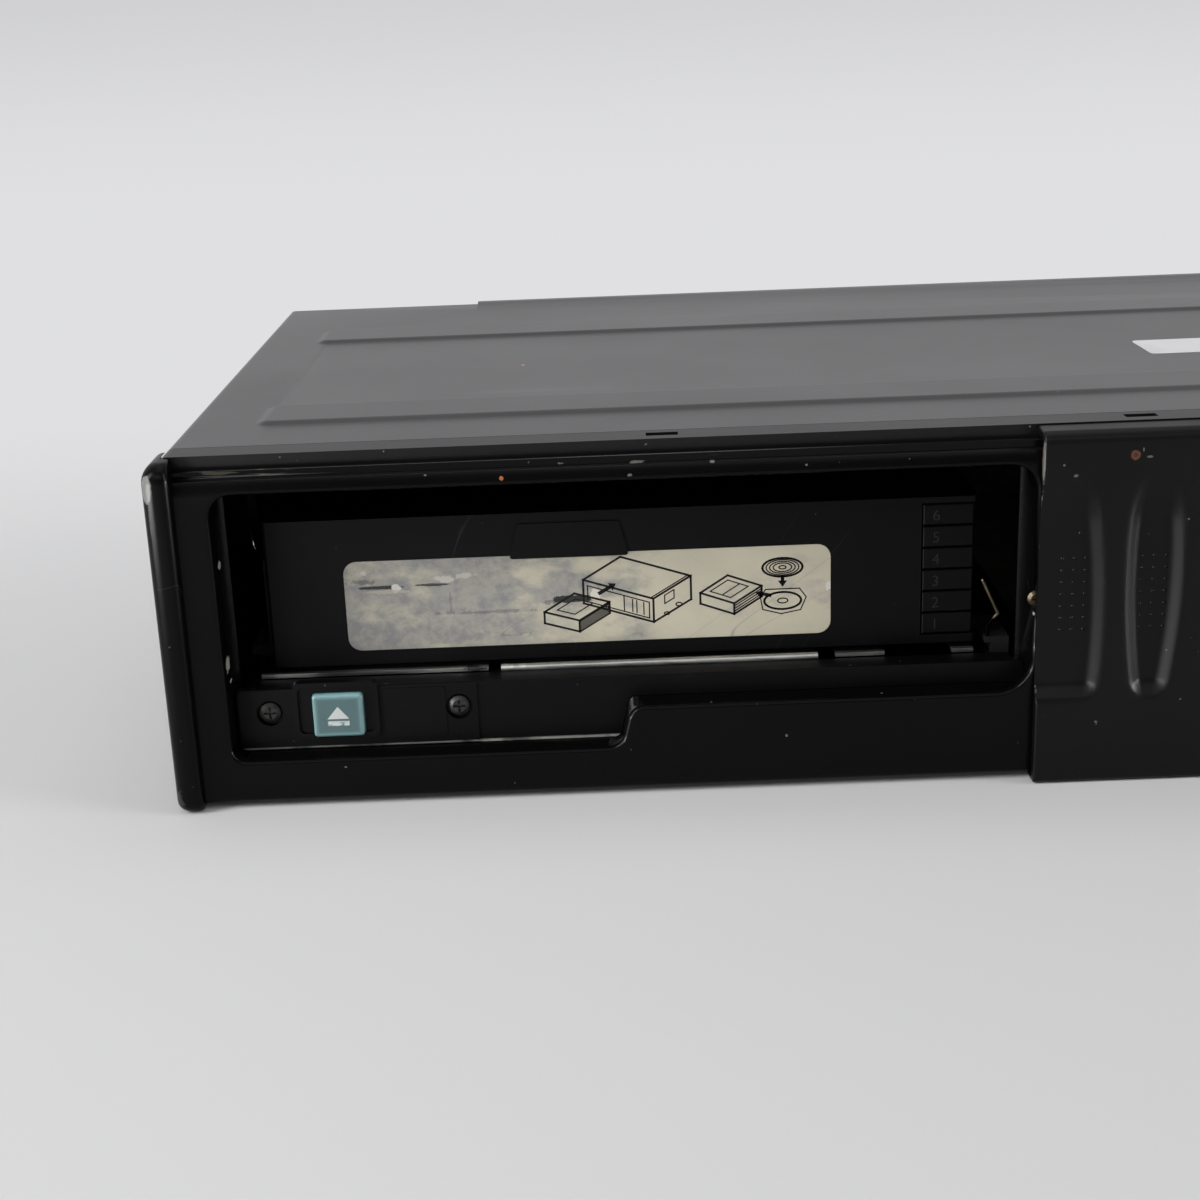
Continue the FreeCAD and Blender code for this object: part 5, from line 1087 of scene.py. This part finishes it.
def makeTopPaper(look):
    material, shader, where = startMaterial("topPaper", look)
    grubby = ease(cloud(where, *look["grime"]), *look["grimeRange"])
    cover(shader, tint(look["colour"], grubby, *look["grimeTint"]), mottle(where, *look["sheen"]))
    addBump(shader, cloud(where, *look["grain"]), look["grainDepth"])
    return material


def drawTopPaper(shape):
    loop = roundedLoop(*(topLabel[key] for key in ("left", "right", "front", "back", "round")))
    addPrism(shape, loop, topLabel["level"], topLabel["thick"], "top")


meshPiece("topLabel", "housing", makeTopPaper(topLabel), drawTopPaper, topLabel["bevel"])
print("printed pieces ready")

# ground, light and camera, in metres

ground = {
    "colour": (0.59, 0.59, 0.593), "roughness": 0.9, "shine": 0.1, "tone": (1.2, 0.985, 1.015), "half": 3.0,
    "wallAt": 1.6, "curve": 0.8, "curveSteps": 12, "height": 3.0, "farRange": (-0.12, 0.3),
    "highRange": (0.0, 0.2), "lowGlow": (0.745, 0.745, 0.757), "highGlow": (0.62, 0.62, 0.635)}


def makeGroundTone(look):
    # the far floor and the backdrop show as a plain pale tone
    material, shader, where = startMaterial("paleGround", look)
    tree = material.node_tree
    put(toned(look["colour"], mottle(where, *look["tone"])), shader["Base Color"])
    far = ease(coordinate(where, "Y"), *look["farRange"])
    high = ease(coordinate(where, "Z"), *look["highRange"])
    tone = blendColour(high, look["lowGlow"], look["highGlow"])
    glow = addNode("Emission", {"Color": tone, "Strength": 1.0})
    ray = addNode("LightPath", tree=tree).outputs
    through = calc("MAXIMUM", ray["Is Glossy Ray"], ray["Is Transmission Ray"])
    seen = calc("MAXIMUM", ray["Is Camera Ray"], through)
    mixer = addNode("MixShader", {
        0: times(far, seen), 1: tree.nodes["Principled BSDF"].outputs[0], 2: glow.outputs[0]})
    put(mixer.outputs[0], tree.nodes["Material Output"].inputs["Surface"])
    return material


def makeGround():
    mesh = bpy.data.meshes.new("ground")
    shape = bmesh.new()
    bend, curve = ground["wallAt"] - ground["curve"], ground["curve"]
    profile = [(-ground["half"], 0.0), (bend, 0.0)]
    for i in range(1, ground["curveSteps"] + 1):
        angle = math.radians(90 * i / ground["curveSteps"])
        profile.append((bend + curve * math.sin(angle), curve * (1 - math.cos(angle))))
    profile.append((ground["wallAt"], ground["height"]))
    rows = [[shape.verts.new((x, y, z)) for x in (-ground["half"], ground["half"])] for y, z in profile]
    for first, second in zip(rows, rows[1:]):
        shape.faces.new((first[0], first[1], second[1], second[0]))
    shape.to_mesh(mesh)
    shape.free()
    smoothFaces(mesh)
    mesh.materials.append(makeGroundTone(ground))
    piece = bpy.data.objects.new("ground", mesh)
    bpy.context.scene.collection.objects.link(piece)


makeGround()

studio = {"sky": (0.88, 0.88, 0.9), "levels": (-0.5, 0.5, 0.13, 0.66)}
lamps = {
    # place, aim, width and height, power
    "overhead": ((0.0, -0.05, 1.3), (0.0, 0.0, 0.0), (1.0, 1.0), 2.8),
    "front": ((-0.1, -1.0, 0.85), (0.0, 0.0, 0.0), (1.0, 0.45), 2.0),
    "left": ((-0.95, -0.5, 0.62), (0.0, 0.0, 0.03), (0.4, 0.75), 12.0),
    "right": ((1.0, -0.45, 0.62), (0.05, 0.0, 0.03), (0.4, 0.75), 4.5),
    "leftGleam": ((-0.42, -0.31, 0.036), (0.02, -0.09, 0.036), (0.25, 0.06), 2.2),
    "rightGleam": ((0.5, -0.2, 0.036), (0.02, -0.09, 0.036), (0.25, 0.06), 2.6)}


def makeRoom():
    # a soft room, brighter behind the object than in front of it
    world = bpy.data.worlds.new("softRoom")
    bpy.context.scene.world = world
    world.use_nodes = True
    tree = world.node_tree
    sky = tree.nodes["Background"].inputs
    sky["Color"].default_value = (*studio["sky"], 1.0)
    along = coordinate(addNode("TexCoord", tree=tree).outputs["Generated"], "Y")
    put(ease(along, *studio["levels"]), sky["Strength"])


def makeLamp(name, at, towards, size, power):
    light = bpy.data.lights.new(name, "AREA")
    light.shape = "RECTANGLE"
    light.size, light.size_y = size
    light.energy = power
    holder = bpy.data.objects.new(name, light)
    bpy.context.scene.collection.objects.link(holder)
    holder.location = at
    holder.rotation_euler = (Vector(towards) - Vector(at)).to_track_quat("-Z", "Y").to_euler()
    if name.endswith("Gleam"):
        # two low strips that only show as gleams on shaped plastic
        holder.visible_diffuse = False
        holder.visible_camera = False


makeRoom()
for name, values in lamps.items():
    makeLamp(name, *values)

view = {
    "at": (83.17, -334.54, 147.77), "down": 17.888, "roll": 2.2228, "lens": 56.26, "sensor": 36.0,
    "nearest": 0.01}  # its place is in millimetres, as on the object


def makeCamera():
    data = bpy.data.cameras.new("camera")
    data.lens = view["lens"]
    data.sensor_width = view["sensor"]
    data.clip_start = view["nearest"]
    camera = bpy.data.objects.new("camera", data)
    bpy.context.scene.collection.objects.link(camera)
    down, roll = math.radians(view["down"]), math.radians(view["roll"])
    forward = Vector((0, math.cos(down), -math.sin(down)))
    level = Vector((1, 0, 0))
    upright = level.cross(forward)
    right = level * math.cos(roll) - upright * math.sin(roll)
    up = level * math.sin(roll) + upright * math.cos(roll)
    turn = Matrix((right, up, -forward)).transposed().to_4x4()
    camera.matrix_world = Matrix.Translation(spot(*view["at"])) @ turn
    bpy.context.scene.camera = camera


makeCamera()
bpy.context.scene.view_settings.view_transform = "Standard"
print("ground, light and camera ready")
